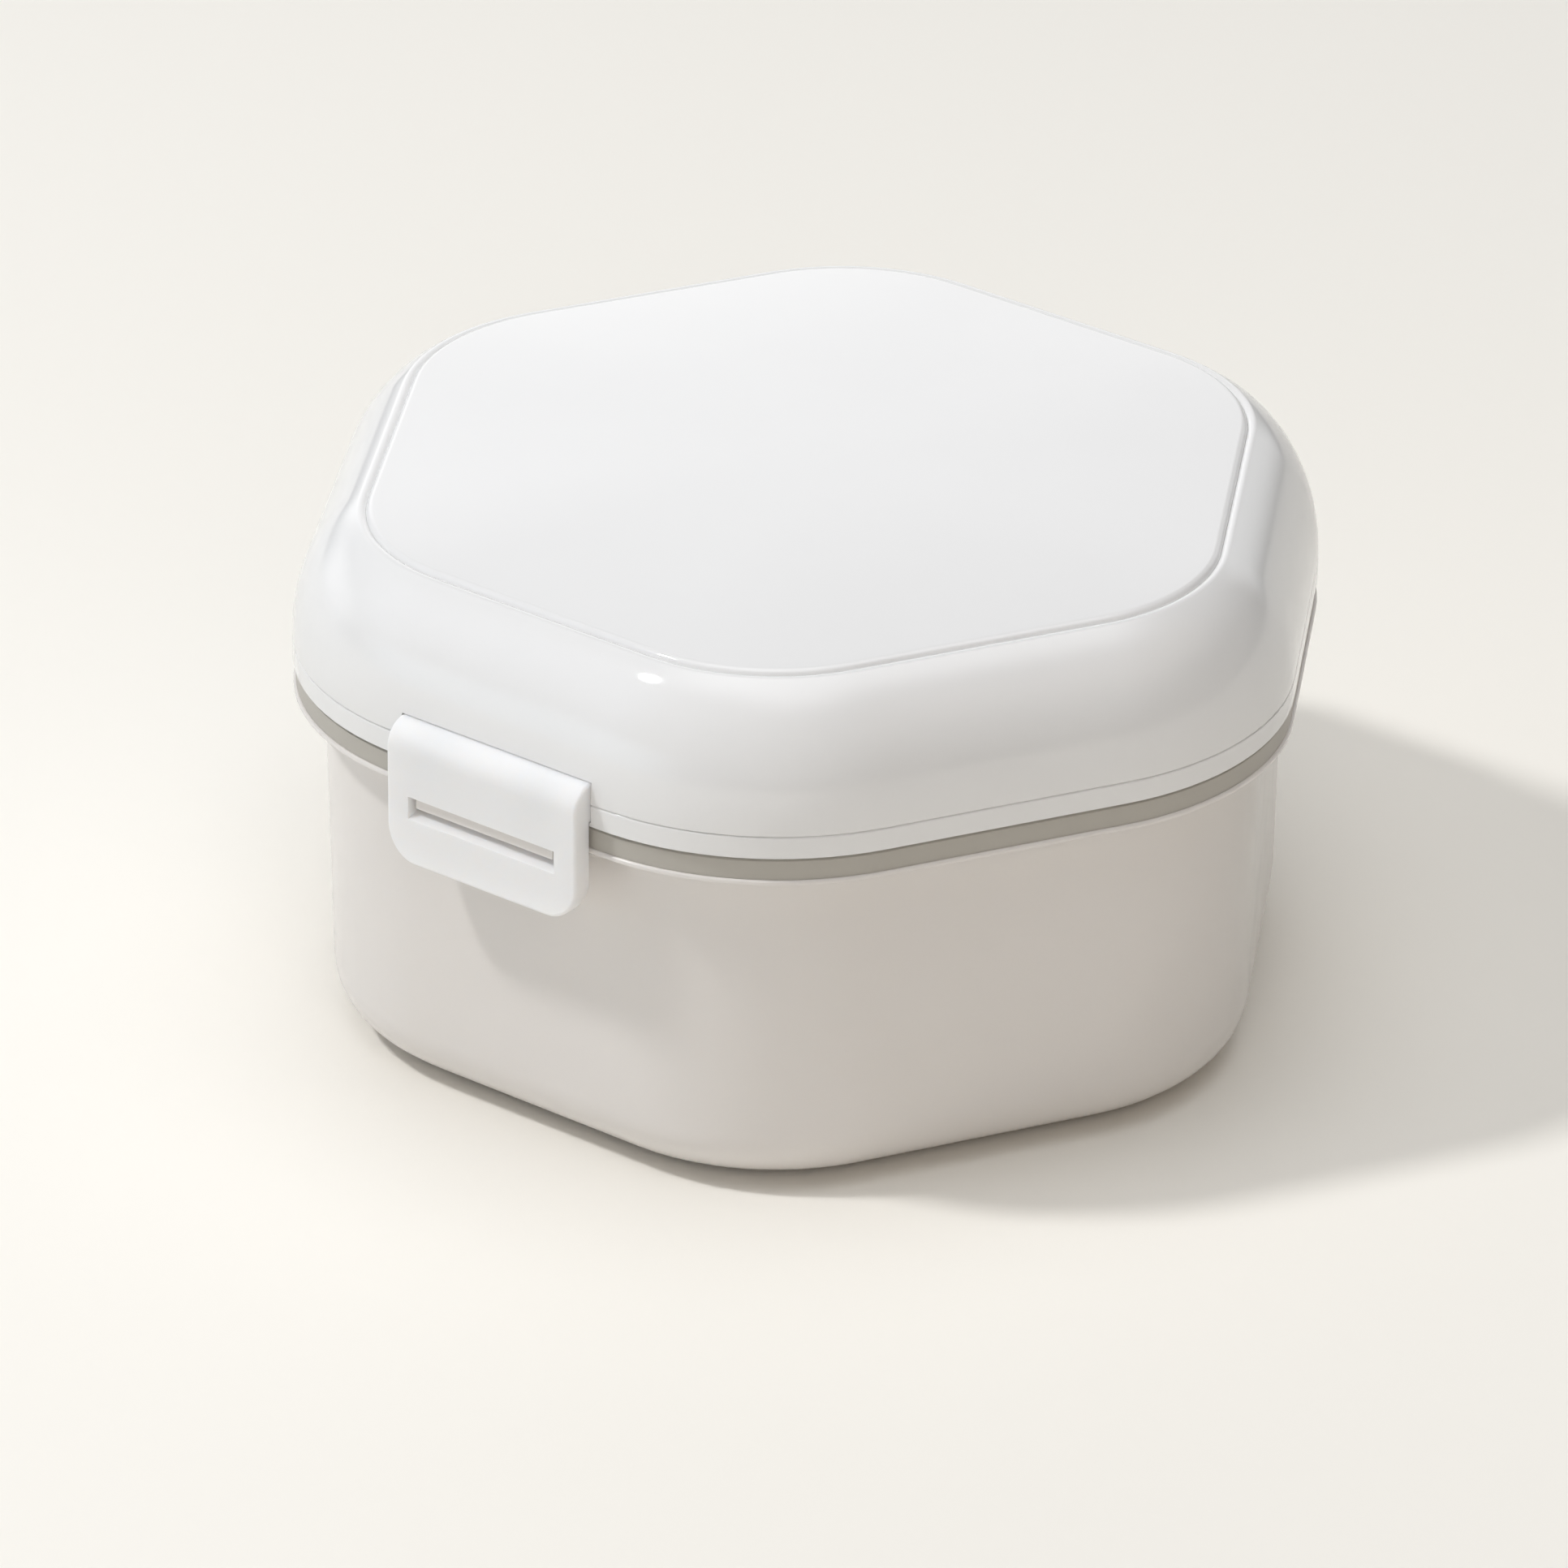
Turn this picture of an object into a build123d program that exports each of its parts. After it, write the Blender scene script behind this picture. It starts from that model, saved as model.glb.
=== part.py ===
"""Retainer cleaning case: a rounded hexagonal cup with a domed lid, a snap latch and a strainer basket.

Millimetres. The origin is on the floor under the middle of the cup, +Z is up, the latch faces -Y
and the lid hinge is at +Y.
"""
from build123d import *
import math
import os

# Outline of the rim: a regular hexagon with flats towards -Y and +Y and large round corners
RIM_APOTHEM = 45.0
RIM_CORNER_R = 25.4

# Heights of the layers, from the floor up
FOOT_GAP = 0.45
FLANGE_BOTTOM = 33.05
FLANGE_TOP = 33.5
SEAL_TOP = 35.64
BAND_TOP = 37.72
SHELL_BOTTOM = 37.8
PANEL_EDGE = 50.5
CROWN_TOP = 51.5

# Base cup
BASE_INSET = 2.81
BASE_DRAFT = 0.017
BASE_WALL = 1.8
BASE_FLOOR = 2.2
BASE_FILLET = 8.3
BASE_INNER_FILLET = 6.5
FLANGE_ROOT_FILLET = 1.6

# Foot ring and the groove that holds it
FOOT_OUTER = 30.5
FOOT_WIDTH = 3.0
FOOT_CORNER_R = 14.0
FOOT_GROOVE_DEPTH = 0.9

# Silicone seal
SEAL_BAND_SETBACK = 0.25
SEAL_LIP_OUTER = 40.0
SEAL_LIP_INNER = 39.2
SEAL_LIP_DROP = 1.9
SEAL_TONGUE_OUTER = 42.0
SEAL_TONGUE_INNER = 40.95
SEAL_TONGUE_HEIGHT = 1.15

# Dome of the lid: a Bezier shoulder from the rim to the groove around the top panel
GROOVE_INSET = 6.7
SHOULDER_RISE = PANEL_EDGE - SHELL_BOTTOM
SHOULDER_LOW_HANDLE = 6.8
SHOULDER_TOP_HANDLE = 3.49
SHOULDER_TOP_ANGLE = 23.6
CORNER_SHRINK = 0.77
SHELL_WALL = 1.8
SHELL_EDGE_R = 0.15
DECK_TOP = 48.95
DECK_THICKNESS = 1.45
PANEL_GAP = 0.1
PANEL_EDGE_R = 0.7

# Inner lid
LINER_GAP = 0.3
LINER_WALL = 1.4
LINER_ROOF_TOP = 47.2
LINER_ROOF_FILLET = 3.0
BAND_INNER = 40.2
BAND_LEDGE = 0.85
BAND_EDGE_R = 0.2

# Latch: a plate with a rolled top that turns on a pin in a pocket of the lid
LATCH_WIDTH = 21.2
LATCH_PIN_Y = -44.85
LATCH_PIN_Z = 37.6
LATCH_ROLL_R = 2.3
LATCH_KNUCKLE_R = 1.4
LATCH_BACK = 0.35
LATCH_BOTTOM = 26.85
LATCH_CORNER_R = 3.2
LATCH_EDGE_R = 0.3
LATCH_FLARE = 0.3
LATCH_FLARE_HEIGHT = 2.5
LATCH_ROLL_END_ANGLE = 70.0
LATCH_PIN_R = 0.5
LATCH_BORE_R = 0.55
POCKET_GAP = 0.15
POCKET_FLOOR = 36.1
LUG_R = 1.3
LUG_WIDTH = 3.0
LUG_OFFSET = 5.5
LUG_GAP = 0.15

# Slot of the latch and the catch rib behind it
SLOT_WIDTH = 16.4
SLOT_TOP = 33.35
SLOT_BOTTOM = 31.15
SLOT_INNER_WIDTH = 16.0
SLOT_INNER_TOP = 33.2
SLOT_INNER_BOTTOM = 31.9
CATCH_WIDTH = 17.6
CATCH_BOTTOM = 32.0
CATCH_REACH = 45.1

# Rear hinge
HINGE_Y = 47.4
HINGE_Z = 34.57
HINGE_R = 2.1
HINGE_PIN_R = 0.75
HINGE_BORE_R = 0.8
HINGE_SPAN = 21.2
HINGE_MIDDLE = 12.0
HINGE_GAP = 0.15

# Strainer basket
BASKET_RIM_TOP = 31.0
BASKET_RIM_APOTHEM = 38.4
BASKET_FLOOR_BOTTOM = 6.6
BASKET_FLOOR_APOTHEM = 36.8
BASKET_WALL = 1.2
BASKET_CORNER_R = 18.6
BASKET_FILLET = 5.0
BASKET_RIM_HEIGHT = 1.6
BASKET_RIM_REACH = 0.3
BASKET_RIM_EDGE_R = 0.25
BASKET_FOOT_R = 2.0
BASKET_FOOT_CIRCLE = 27.0
HOLE_R = 1.6
HOLE_PITCH = 8.0
HOLE_RINGS = 3
SLOT_SIDE_WIDTH = 2.2
SLOT_SIDE_HEIGHT = 11.0
SLOT_SIDE_PITCH = 6.0
TAB_WIDTH = 13.0
TAB_TOP = 34.2
TAB_THICKNESS = 1.3
TAB_SETBACK = 0.1
TAB_CORNER_R = 3.0
TAB_HOLE_LENGTH = 7.0
TAB_HOLE_HEIGHT = 1.8


def hexagon(apothem, corner_r, z=0.0):
    """Return a hexagon with flats towards +-Y and rounded corners, at height z."""
    outline = RegularPolygon(radius=apothem, side_count=6, major_radius=False)
    return Pos(0, 0, z) * fillet(outline.vertices(), corner_r)


def prism(apothem, corner_r, low, high):
    """Return the upright solid of a rounded hexagon between two heights."""
    return extrude(hexagon(apothem, corner_r, low), amount=high - low)


def ring(outer, inner, low, high, corner_r=RIM_CORNER_R, reference=RIM_APOTHEM):
    """Return a hexagonal ring whose corners stay parallel to the reference outline."""
    outside = prism(outer, corner_r - (reference - outer), low, high)
    inside = prism(inner, corner_r - (reference - inner), low - 1, high + 1)
    return outside - inside


def base_apothem(z):
    """Return the apothem of the cup's outer wall at height z."""
    return RIM_APOTHEM - BASE_INSET - BASE_DRAFT * (FLANGE_BOTTOM - z)


def cup(low, high, inset, bottom_fillet):
    """Return the drafted solid of the cup, moved inwards by inset, with a rounded bottom edge."""
    sections = []
    for z in (low, high):
        apothem = base_apothem(z) - inset
        corner_r = RIM_CORNER_R - (RIM_APOTHEM - apothem)
        sections.append(hexagon(apothem, corner_r, z))
    body = loft(sections, ruled=True)
    bottom = body.faces().sort_by(Axis.Z)[0]
    return fillet(bottom.edges(), bottom_fillet)


def cylinder_x(radius, y, z, start, end):
    """Return a cylinder along X between two x values."""
    return extrude(Plane.YZ.offset(start) * Pos(y, z) * Circle(radius), amount=end - start)


def slab_x(points, start, end):
    """Return a polygon of (y, z) points extruded along X between two x values."""
    face = make_face(Polyline(*points, close=True))
    return extrude(Plane.YZ.offset(start) * face, amount=end - start)


def shoulder(t):
    """Return the inset and the height above the shell's lower edge at Bezier parameter t."""
    angle = math.radians(SHOULDER_TOP_ANGLE)
    insets = (0, 0, GROOVE_INSET - SHOULDER_TOP_HANDLE * math.cos(angle), GROOVE_INSET)
    rises = (0, SHOULDER_LOW_HANDLE, SHOULDER_RISE - SHOULDER_TOP_HANDLE * math.sin(angle), SHOULDER_RISE)
    weights = ((1 - t) ** 3, 3 * t * (1 - t) ** 2, 3 * t * t * (1 - t), t ** 3)
    inset = sum(w * v for w, v in zip(weights, insets))
    rise = sum(w * v for w, v in zip(weights, rises))
    return inset, rise


def shoulder_at(height):
    """Return the inset of the dome at a height above the floor."""
    low, high = 0.0, 1.0
    for _ in range(40):
        middle = (low + high) / 2
        if shoulder(middle)[1] < height - SHELL_BOTTOM:
            low = middle
        else:
            high = middle
    return shoulder(low)[0]


def dome(extra, low, high, count):
    """Return a solid that follows the dome, moved inwards by extra, between two heights."""
    sections = []
    for i in range(count):
        z = low + (high - low) * i / (count - 1)
        inset = shoulder_at(z)
        apothem = RIM_APOTHEM - inset - extra
        corner_r = RIM_CORNER_R - CORNER_SHRINK * inset - extra
        sections.append(hexagon(apothem, corner_r, z))
    return loft(sections)


def hinge_block(start, end):
    """Return one knuckle of the base with the bracket that carries it down to the cup's wall."""
    barrel = cylinder_x(HINGE_R, HINGE_Y, HINGE_Z, start, end)
    outer = HINGE_Y + HINGE_R
    inner = RIM_APOTHEM + 0.25
    profile = [
        (outer, HINGE_Z),
        (outer - 0.2, HINGE_Z - 3.2),
        (43.0, 26.0),
        (41.5, 26.0),
        (41.5, 33.3),
        (inner, 33.3),
        (inner, HINGE_Z),
    ]
    return barrel + slab_x(profile, start, end)


def hinge_ends():
    """Return the x spans of the two outer knuckles."""
    inner = HINGE_MIDDLE / 2 + HINGE_GAP
    outer = HINGE_SPAN / 2
    return ((-outer, -inner), (inner, outer))


def make_base_shell():
    """Return the cup with its flange, catch rib, foot groove and rear knuckles."""
    outside = cup(FOOT_GAP, FLANGE_TOP, 0, BASE_FILLET)
    flange = prism(RIM_APOTHEM, RIM_CORNER_R, FLANGE_BOTTOM, FLANGE_TOP)
    body = outside + flange
    root = []
    for edge in body.edges():
        middle = edge.center()
        if abs(middle.Z - FLANGE_BOTTOM) < 0.01 and math.hypot(middle.X, middle.Y) < RIM_APOTHEM - 1:
            root.append(edge)
    body = fillet(root, FLANGE_ROOT_FILLET)
    for start, end in hinge_ends():
        body += hinge_block(start, end)
    catch = [
        (-41.5, CATCH_BOTTOM - 1.6),
        (-43.2, CATCH_BOTTOM),
        (-CATCH_REACH, CATCH_BOTTOM),
        (-CATCH_REACH, FLANGE_BOTTOM),
        (-CATCH_REACH + 0.15, FLANGE_TOP - 0.1),
        (-41.5, FLANGE_TOP - 0.1),
    ]
    body += slab_x(catch, -CATCH_WIDTH / 2, CATCH_WIDTH / 2)
    body -= cup(FOOT_GAP + BASE_FLOOR, FLANGE_TOP + 1, BASE_WALL, BASE_INNER_FILLET)
    groove_low = FOOT_GAP - 1
    groove_top = FOOT_GAP + FOOT_GROOVE_DEPTH
    body -= ring(FOOT_OUTER, FOOT_OUTER - FOOT_WIDTH, groove_low, groove_top, FOOT_CORNER_R, FOOT_OUTER)
    body -= cylinder_x(HINGE_PIN_R, HINGE_Y, HINGE_Z, -HINGE_SPAN, HINGE_SPAN)
    return body


def make_foot_ring():
    """Return the soft ring, pressed into its groove, that the case stands on."""
    outer = FOOT_OUTER - 0.05
    inner = FOOT_OUTER - FOOT_WIDTH + 0.05
    top = FOOT_GAP + FOOT_GROOVE_DEPTH
    body = ring(outer, inner, 0, top, FOOT_CORNER_R - 0.05, outer)
    bottom = body.faces().sort_by(Axis.Z)[0]
    return chamfer(bottom.edges(), 0.3)


def make_seal_ring():
    """Return the silicone seal: a flat band, a tongue up into the lid and a lip down into the cup."""
    body = ring(RIM_APOTHEM - SEAL_BAND_SETBACK, SEAL_LIP_INNER, FLANGE_TOP, SEAL_TOP)
    body += ring(SEAL_TONGUE_OUTER - 0.05, SEAL_TONGUE_INNER + 0.05, SEAL_TOP, SEAL_TOP + SEAL_TONGUE_HEIGHT)
    body += ring(SEAL_LIP_OUTER, SEAL_LIP_INNER, FLANGE_TOP - SEAL_LIP_DROP, FLANGE_TOP)
    tip = body.faces().sort_by(Axis.Z)[0]
    return chamfer(tip.edges(), 0.25)


def latch_pocket():
    """Return the space that the rolled top of the latch turns in."""
    half = LATCH_WIDTH / 2 + POCKET_GAP
    round_part = cylinder_x(LATCH_ROLL_R + POCKET_GAP, LATCH_PIN_Y, LATCH_PIN_Z, -half, half)
    above = Pos(0, LATCH_PIN_Y, POCKET_FLOOR + 5) * Box(60, 20, 10)
    mouth = Pos(0, LATCH_PIN_Y - 5, LATCH_PIN_Z) * Box(2 * half, 10, 2 * (LATCH_PIN_Z - POCKET_FLOOR))
    return round_part & above, mouth & above


def latch_lugs():
    """Return the two lugs in the pocket that hold the latch pin."""
    lugs = []
    for x in (-LUG_OFFSET, LUG_OFFSET):
        start = x - LUG_WIDTH / 2
        end = x + LUG_WIDTH / 2
        eye = cylinder_x(LUG_R, LATCH_PIN_Y, LATCH_PIN_Z, start, end)
        web = slab_x(
            [
                (LATCH_PIN_Y - 0.1, POCKET_FLOOR - 0.2),
                (LATCH_PIN_Y - 0.1, LATCH_PIN_Z),
                (LATCH_PIN_Y + LUG_R, LATCH_PIN_Z),
                (LATCH_PIN_Y + LUG_R, POCKET_FLOOR - 0.2),
            ],
            start,
            end,
        )
        lugs.append(eye + web)
    return lugs


def make_lid_liner():
    """Return the inner lid: rim band, hollow dome, latch pocket with lugs and the middle knuckle."""
    band = prism(RIM_APOTHEM, RIM_CORNER_R, SEAL_TOP, BAND_TOP)
    band = fillet(band.edges().filter_by(Axis.Z, reverse=True), BAND_EDGE_R)
    ledge_apothem = RIM_APOTHEM - BAND_LEDGE
    ledge = prism(ledge_apothem, RIM_CORNER_R - BAND_LEDGE, BAND_TOP - 0.2, SHELL_BOTTOM)
    outer_extra = SHELL_WALL + LINER_GAP
    bell = dome(outer_extra, SHELL_BOTTOM, LINER_ROOF_TOP, 5)
    bell = fillet(bell.faces().sort_by(Axis.Z)[-1].edges(), LINER_ROOF_FILLET)
    body = band + ledge + bell
    hollow = dome(outer_extra + LINER_WALL, SHELL_BOTTOM, LINER_ROOF_TOP - LINER_WALL, 5)
    hollow = fillet(hollow.faces().sort_by(Axis.Z)[-1].edges(), LINER_ROOF_FILLET - 1.2)
    body -= hollow
    mouth_r = RIM_CORNER_R - (RIM_APOTHEM - BAND_INNER)
    body -= prism(BAND_INNER, mouth_r, SEAL_TOP - 1, SHELL_BOTTOM + 0.1)
    body -= ring(SEAL_TONGUE_OUTER, SEAL_TONGUE_INNER, SEAL_TOP - 1, SEAL_TOP + SEAL_TONGUE_HEIGHT + 0.05)
    for space in latch_pocket():
        body -= space
    for lug in latch_lugs():
        body += lug
    body -= cylinder_x(LATCH_PIN_R, LATCH_PIN_Y, LATCH_PIN_Z, -LATCH_WIDTH / 2, LATCH_WIDTH / 2)
    half = HINGE_MIDDLE / 2
    body += cylinder_x(HINGE_R, HINGE_Y, HINGE_Z, -half, half)
    arm = [
        (44.5, SEAL_TOP + 0.15),
        (RIM_APOTHEM + 0.1, SEAL_TOP + 0.15),
        (RIM_APOTHEM + 0.35, HINGE_Z),
        (HINGE_Y, HINGE_Z),
        (HINGE_Y + 1.35, HINGE_Z + 1.6),
        (RIM_APOTHEM + 0.3, BAND_TOP - 0.15),
        (44.5, BAND_TOP - 0.15),
    ]
    body += slab_x(arm, -half, half)
    body -= cylinder_x(HINGE_BORE_R, HINGE_Y, HINGE_Z, -half - 1, half + 1)
    return body


def make_lid_shell():
    """Return the outer dome with the recess for the top panel and the notch for the latch."""
    body = dome(0, SHELL_BOTTOM, PANEL_EDGE, 8)
    body = fillet(body.faces().sort_by(Axis.Z)[0].edges(), SHELL_EDGE_R)
    body -= dome(SHELL_WALL, SHELL_BOTTOM - 0.001, DECK_TOP - DECK_THICKNESS, 6)
    recess_apothem = RIM_APOTHEM - GROOVE_INSET - 0.1
    recess_r = RIM_CORNER_R - CORNER_SHRINK * GROOVE_INSET - 0.1
    body -= prism(recess_apothem, recess_r, DECK_TOP, PANEL_EDGE + 1)
    for space in latch_pocket():
        body -= space
    return body


def make_top_panel():
    """Return the slightly crowned panel that lies in the recess of the dome."""
    apothem = RIM_APOTHEM - GROOVE_INSET - 0.1 - PANEL_GAP
    corner_r = RIM_CORNER_R - CORNER_SHRINK * GROOVE_INSET - 0.1 - PANEL_GAP
    rise = CROWN_TOP - PANEL_EDGE
    sphere_r = (apothem ** 2 + rise ** 2) / (2 * rise)
    plate = prism(apothem, corner_r, DECK_TOP, CROWN_TOP + 1)
    crown = Pos(0, 0, CROWN_TOP - sphere_r) * Sphere(sphere_r)
    body = plate & crown
    rim = []
    for edge in body.edges():
        box = edge.bounding_box()
        if DECK_TOP + 1 < box.min.Z and box.max.Z < PANEL_EDGE + 0.1:
            rim.append(edge)
    return fillet(rim, PANEL_EDGE_R)


def latch_rim(body):
    """Return the outline of the latch's front: both ends of the roll, the sides and the bottom."""
    half = LATCH_WIDTH / 2
    rim = []
    for edge in body.edges():
        middle = edge.center()
        at_end = abs(middle.X) > half - 0.01
        out = math.hypot(middle.Y - LATCH_PIN_Y, middle.Z - LATCH_PIN_Z)
        on_roll = middle.Z > LATCH_PIN_Z and out > LATCH_ROLL_R - 0.05
        on_front = edge.bounding_box().max.Y < LATCH_PIN_Y - LATCH_ROLL_R + 0.02
        if (on_roll and at_end) or (on_front and edge.length < LATCH_WIDTH - 1):
            rim.append(edge)
    return rim


def make_latch():
    """Return the latch: rolled top, plate with the tapered slot and knuckles for the pin."""
    half = LATCH_WIDTH / 2
    end = math.radians(LATCH_ROLL_END_ANGLE)
    reach = 2 * LATCH_ROLL_R
    keep = make_face(
        Polyline(
            (0, 0),
            (reach * math.cos(end), reach * math.sin(end)),
            (-reach, reach),
            (-reach, -reach),
            (-LATCH_BACK, -reach),
            (-LATCH_BACK, 0),
            close=True,
        )
    )
    low = LATCH_BOTTOM - LATCH_PIN_Z
    flare_start = (-LATCH_ROLL_R, low + LATCH_FLARE_HEIGHT)
    flare_end = (-LATCH_ROLL_R - LATCH_FLARE, low)
    outline = Line((-LATCH_BACK, 0), (-LATCH_ROLL_R, 0)) + Line((-LATCH_ROLL_R, 0), flare_start)
    outline += TangentArc(flare_start, flare_end, tangent=(0, -1))
    outline += Polyline(
        flare_end,
        (-LATCH_BACK - 0.75, low),
        (-LATCH_BACK - 0.35, low + 1.8),
        (-LATCH_BACK, low + 3.2),
        (-LATCH_BACK, 0),
    )
    plate = make_face(outline)
    profile = (Circle(LATCH_ROLL_R) & keep) + Circle(LATCH_KNUCKLE_R) + plate
    body = extrude(Plane.YZ.offset(-half) * Pos(LATCH_PIN_Y, LATCH_PIN_Z) * profile, amount=LATCH_WIDTH)
    low_corners = []
    for edge in body.edges():
        middle = edge.center()
        if middle.Z < LATCH_BOTTOM + 0.01 and abs(middle.X) > half - 0.01:
            low_corners.append(edge)
    body = fillet(low_corners, LATCH_CORNER_R)
    body = fillet(latch_rim(body), LATCH_EDGE_R)
    for x in (-LUG_OFFSET, LUG_OFFSET):
        start = x - LUG_WIDTH / 2 - LUG_GAP
        stop = x + LUG_WIDTH / 2 + LUG_GAP
        body -= cylinder_x(LUG_R + 0.2, LATCH_PIN_Y, LATCH_PIN_Z, start, stop)
        body -= slab_x(
            [
                (LATCH_PIN_Y, LATCH_PIN_Z),
                (LATCH_PIN_Y + 3, LATCH_PIN_Z + 8),
                (LATCH_PIN_Y + 3, LATCH_PIN_Z - 3),
                (LATCH_PIN_Y - LATCH_BACK, LATCH_PIN_Z - 3),
                (LATCH_PIN_Y - LATCH_BACK, LATCH_PIN_Z),
            ],
            start,
            stop,
        )
    body -= slot_cutter()
    body -= cylinder_x(LATCH_BORE_R, LATCH_PIN_Y, LATCH_PIN_Z, -half - 1, half - 0.7)
    return body


def slot_cutter():
    """Return the tapered space of the latch slot, wider at the front and with a sloping sill."""
    front_y = LATCH_PIN_Y - LATCH_ROLL_R - 0.01
    back_y = LATCH_PIN_Y - LATCH_BACK + 0.01
    sections = []
    for y, width, low, high in (
        (front_y, SLOT_WIDTH, SLOT_BOTTOM, SLOT_TOP),
        (back_y, SLOT_INNER_WIDTH, SLOT_INNER_BOTTOM, SLOT_INNER_TOP),
    ):
        face = Pos(0, (low + high) / 2) * Rectangle(width, high - low)
        sections.append(Plane.XZ.offset(-y) * face)
    return loft(sections, ruled=True)


def make_latch_pin():
    """Return the steel pin that runs through the latch and the lid's lugs."""
    half = LATCH_WIDTH / 2
    return cylinder_x(LATCH_PIN_R, LATCH_PIN_Y, LATCH_PIN_Z, -half + 0.3, half - 0.9)


def make_hinge_pin():
    """Return the steel pin of the rear hinge."""
    half = HINGE_SPAN / 2
    return cylinder_x(HINGE_PIN_R, HINGE_Y, HINGE_Z, -half + 0.2, half - 0.2)


def basket_solid(inset, low, fillet_r):
    """Return the drafted solid of the basket, moved inwards by inset, from height low up."""
    top = BASKET_RIM_TOP
    slope = (BASKET_RIM_APOTHEM - BASKET_FLOOR_APOTHEM) / (top - BASKET_FLOOR_BOTTOM)
    sections = []
    for z in (low, top + (0.5 if inset else 0)):
        apothem = BASKET_FLOOR_APOTHEM + slope * (z - BASKET_FLOOR_BOTTOM) - inset
        corner_r = BASKET_CORNER_R - (BASKET_RIM_APOTHEM - apothem)
        sections.append(hexagon(apothem, corner_r, z))
    body = loft(sections, ruled=True)
    return fillet(body.faces().sort_by(Axis.Z)[0].edges(), fillet_r)


def drain_points():
    """Return the centres of the floor's drain holes, on a triangular grid of whole rings."""
    points = []
    for q in range(-HOLE_RINGS, HOLE_RINGS + 1):
        for r in range(-HOLE_RINGS, HOLE_RINGS + 1):
            if abs(q + r) <= HOLE_RINGS:
                x = HOLE_PITCH * (q + r / 2)
                y = HOLE_PITCH * r * math.sqrt(3) / 2
                points.append((x, y))
    return points


def lift_tabs():
    """Return the two lift tabs, which follow the basket's wall at its -X and +X corners."""
    low = BASKET_RIM_TOP - BASKET_RIM_HEIGHT
    outer = BASKET_RIM_APOTHEM - TAB_SETBACK
    band = ring(outer, outer - TAB_THICKNESS, low, TAB_TOP, BASKET_CORNER_R, BASKET_RIM_APOTHEM)
    plate = Rectangle(TAB_WIDTH, 2 * (TAB_TOP - low))
    plate = fillet(plate.vertices().group_by(Axis.Y)[-1], TAB_CORNER_R)
    hole = Pos(0, (BASKET_RIM_TOP + TAB_TOP) / 2 - low) * SlotOverall(TAB_HOLE_LENGTH, TAB_HOLE_HEIGHT)
    outline = extrude(Plane.YZ * Pos(0, low) * (plate - hole), amount=60, both=True)
    return band & outline


def make_basket():
    """Return the strainer basket with drain holes, side slots, feet and two lift tabs."""
    body = basket_solid(0, BASKET_FLOOR_BOTTOM, BASKET_FILLET)
    rim_low = BASKET_RIM_TOP - BASKET_RIM_HEIGHT
    rim_r = BASKET_CORNER_R + BASKET_RIM_REACH
    rim = prism(BASKET_RIM_APOTHEM + BASKET_RIM_REACH, rim_r, rim_low, BASKET_RIM_TOP)
    body += fillet(rim.edges().filter_by(Axis.Z, reverse=True), BASKET_RIM_EDGE_R)
    for tab in lift_tabs().solids():
        body += tab
    body -= basket_solid(BASKET_WALL, BASKET_FLOOR_BOTTOM + BASKET_WALL, BASKET_FILLET - 1.0)
    holes = [Pos(x, y) * Circle(HOLE_R) for x, y in drain_points()]
    cutter = Pos(0, 0, BASKET_FLOOR_BOTTOM - 1) * extrude(Sketch() + holes, amount=4)
    body -= cutter
    for k in range(6):
        for i in (-1, 0, 1):
            slot = Pos(0, 20.5) * SlotOverall(SLOT_SIDE_HEIGHT, SLOT_SIDE_WIDTH, rotation=90)
            bar = extrude(Plane.XZ * Pos(i * SLOT_SIDE_PITCH, 0) * slot, amount=-60)
            body -= Rot(0, 0, 60 * k) * (bar & Pos(0, 40, 20) * Box(40, 30, 40))
    base_inside = FOOT_GAP + BASE_FLOOR
    for k in range(6):
        foot = extrude(Circle(BASKET_FOOT_R), amount=BASKET_FLOOR_BOTTOM - base_inside + 0.2)
        body += Rot(0, 0, 60 * k) * Pos(BASKET_FOOT_CIRCLE + 1.8, 0, base_inside) * foot
    return body


def main():
    """Build every piece and write one STEP file per piece."""
    pieces = {
        "base_shell": make_base_shell(),
        "foot_ring": make_foot_ring(),
        "strainer_basket": make_basket(),
        "seal_ring": make_seal_ring(),
        "lid_liner": make_lid_liner(),
        "lid_shell": make_lid_shell(),
        "lid_top_panel": make_top_panel(),
        "latch": make_latch(),
        "latch_pin": make_latch_pin(),
        "hinge_pin": make_hinge_pin(),
    }
    os.makedirs("parts", exist_ok=True)
    for name, shape in pieces.items():
        solids = shape.solids()
        box = shape.bounding_box()
        low = tuple(round(v, 2) for v in box.min)
        high = tuple(round(v, 2) for v in box.max)
        print(name, len(solids), "solid(s)", round(shape.volume, 1), "mm3", low, high)
        export_step(shape, f"parts/{name}.step")


if __name__ == "__main__":
    main()
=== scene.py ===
"""Visual model of a retainer cleaning case: hexagonal cup, domed lid, seal, snap latch and basket.

Sizes are in millimetres in the classes and in metres in the meshes. The origin is on the floor
under the middle of the cup, +Z is up, the latch faces -Y and the lid hinge is at +Y.
"""

import logging
import math
from dataclasses import dataclass, field
from enum import Enum

import bmesh
import bpy
import numpy as np
from mathutils import Matrix, Vector


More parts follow.
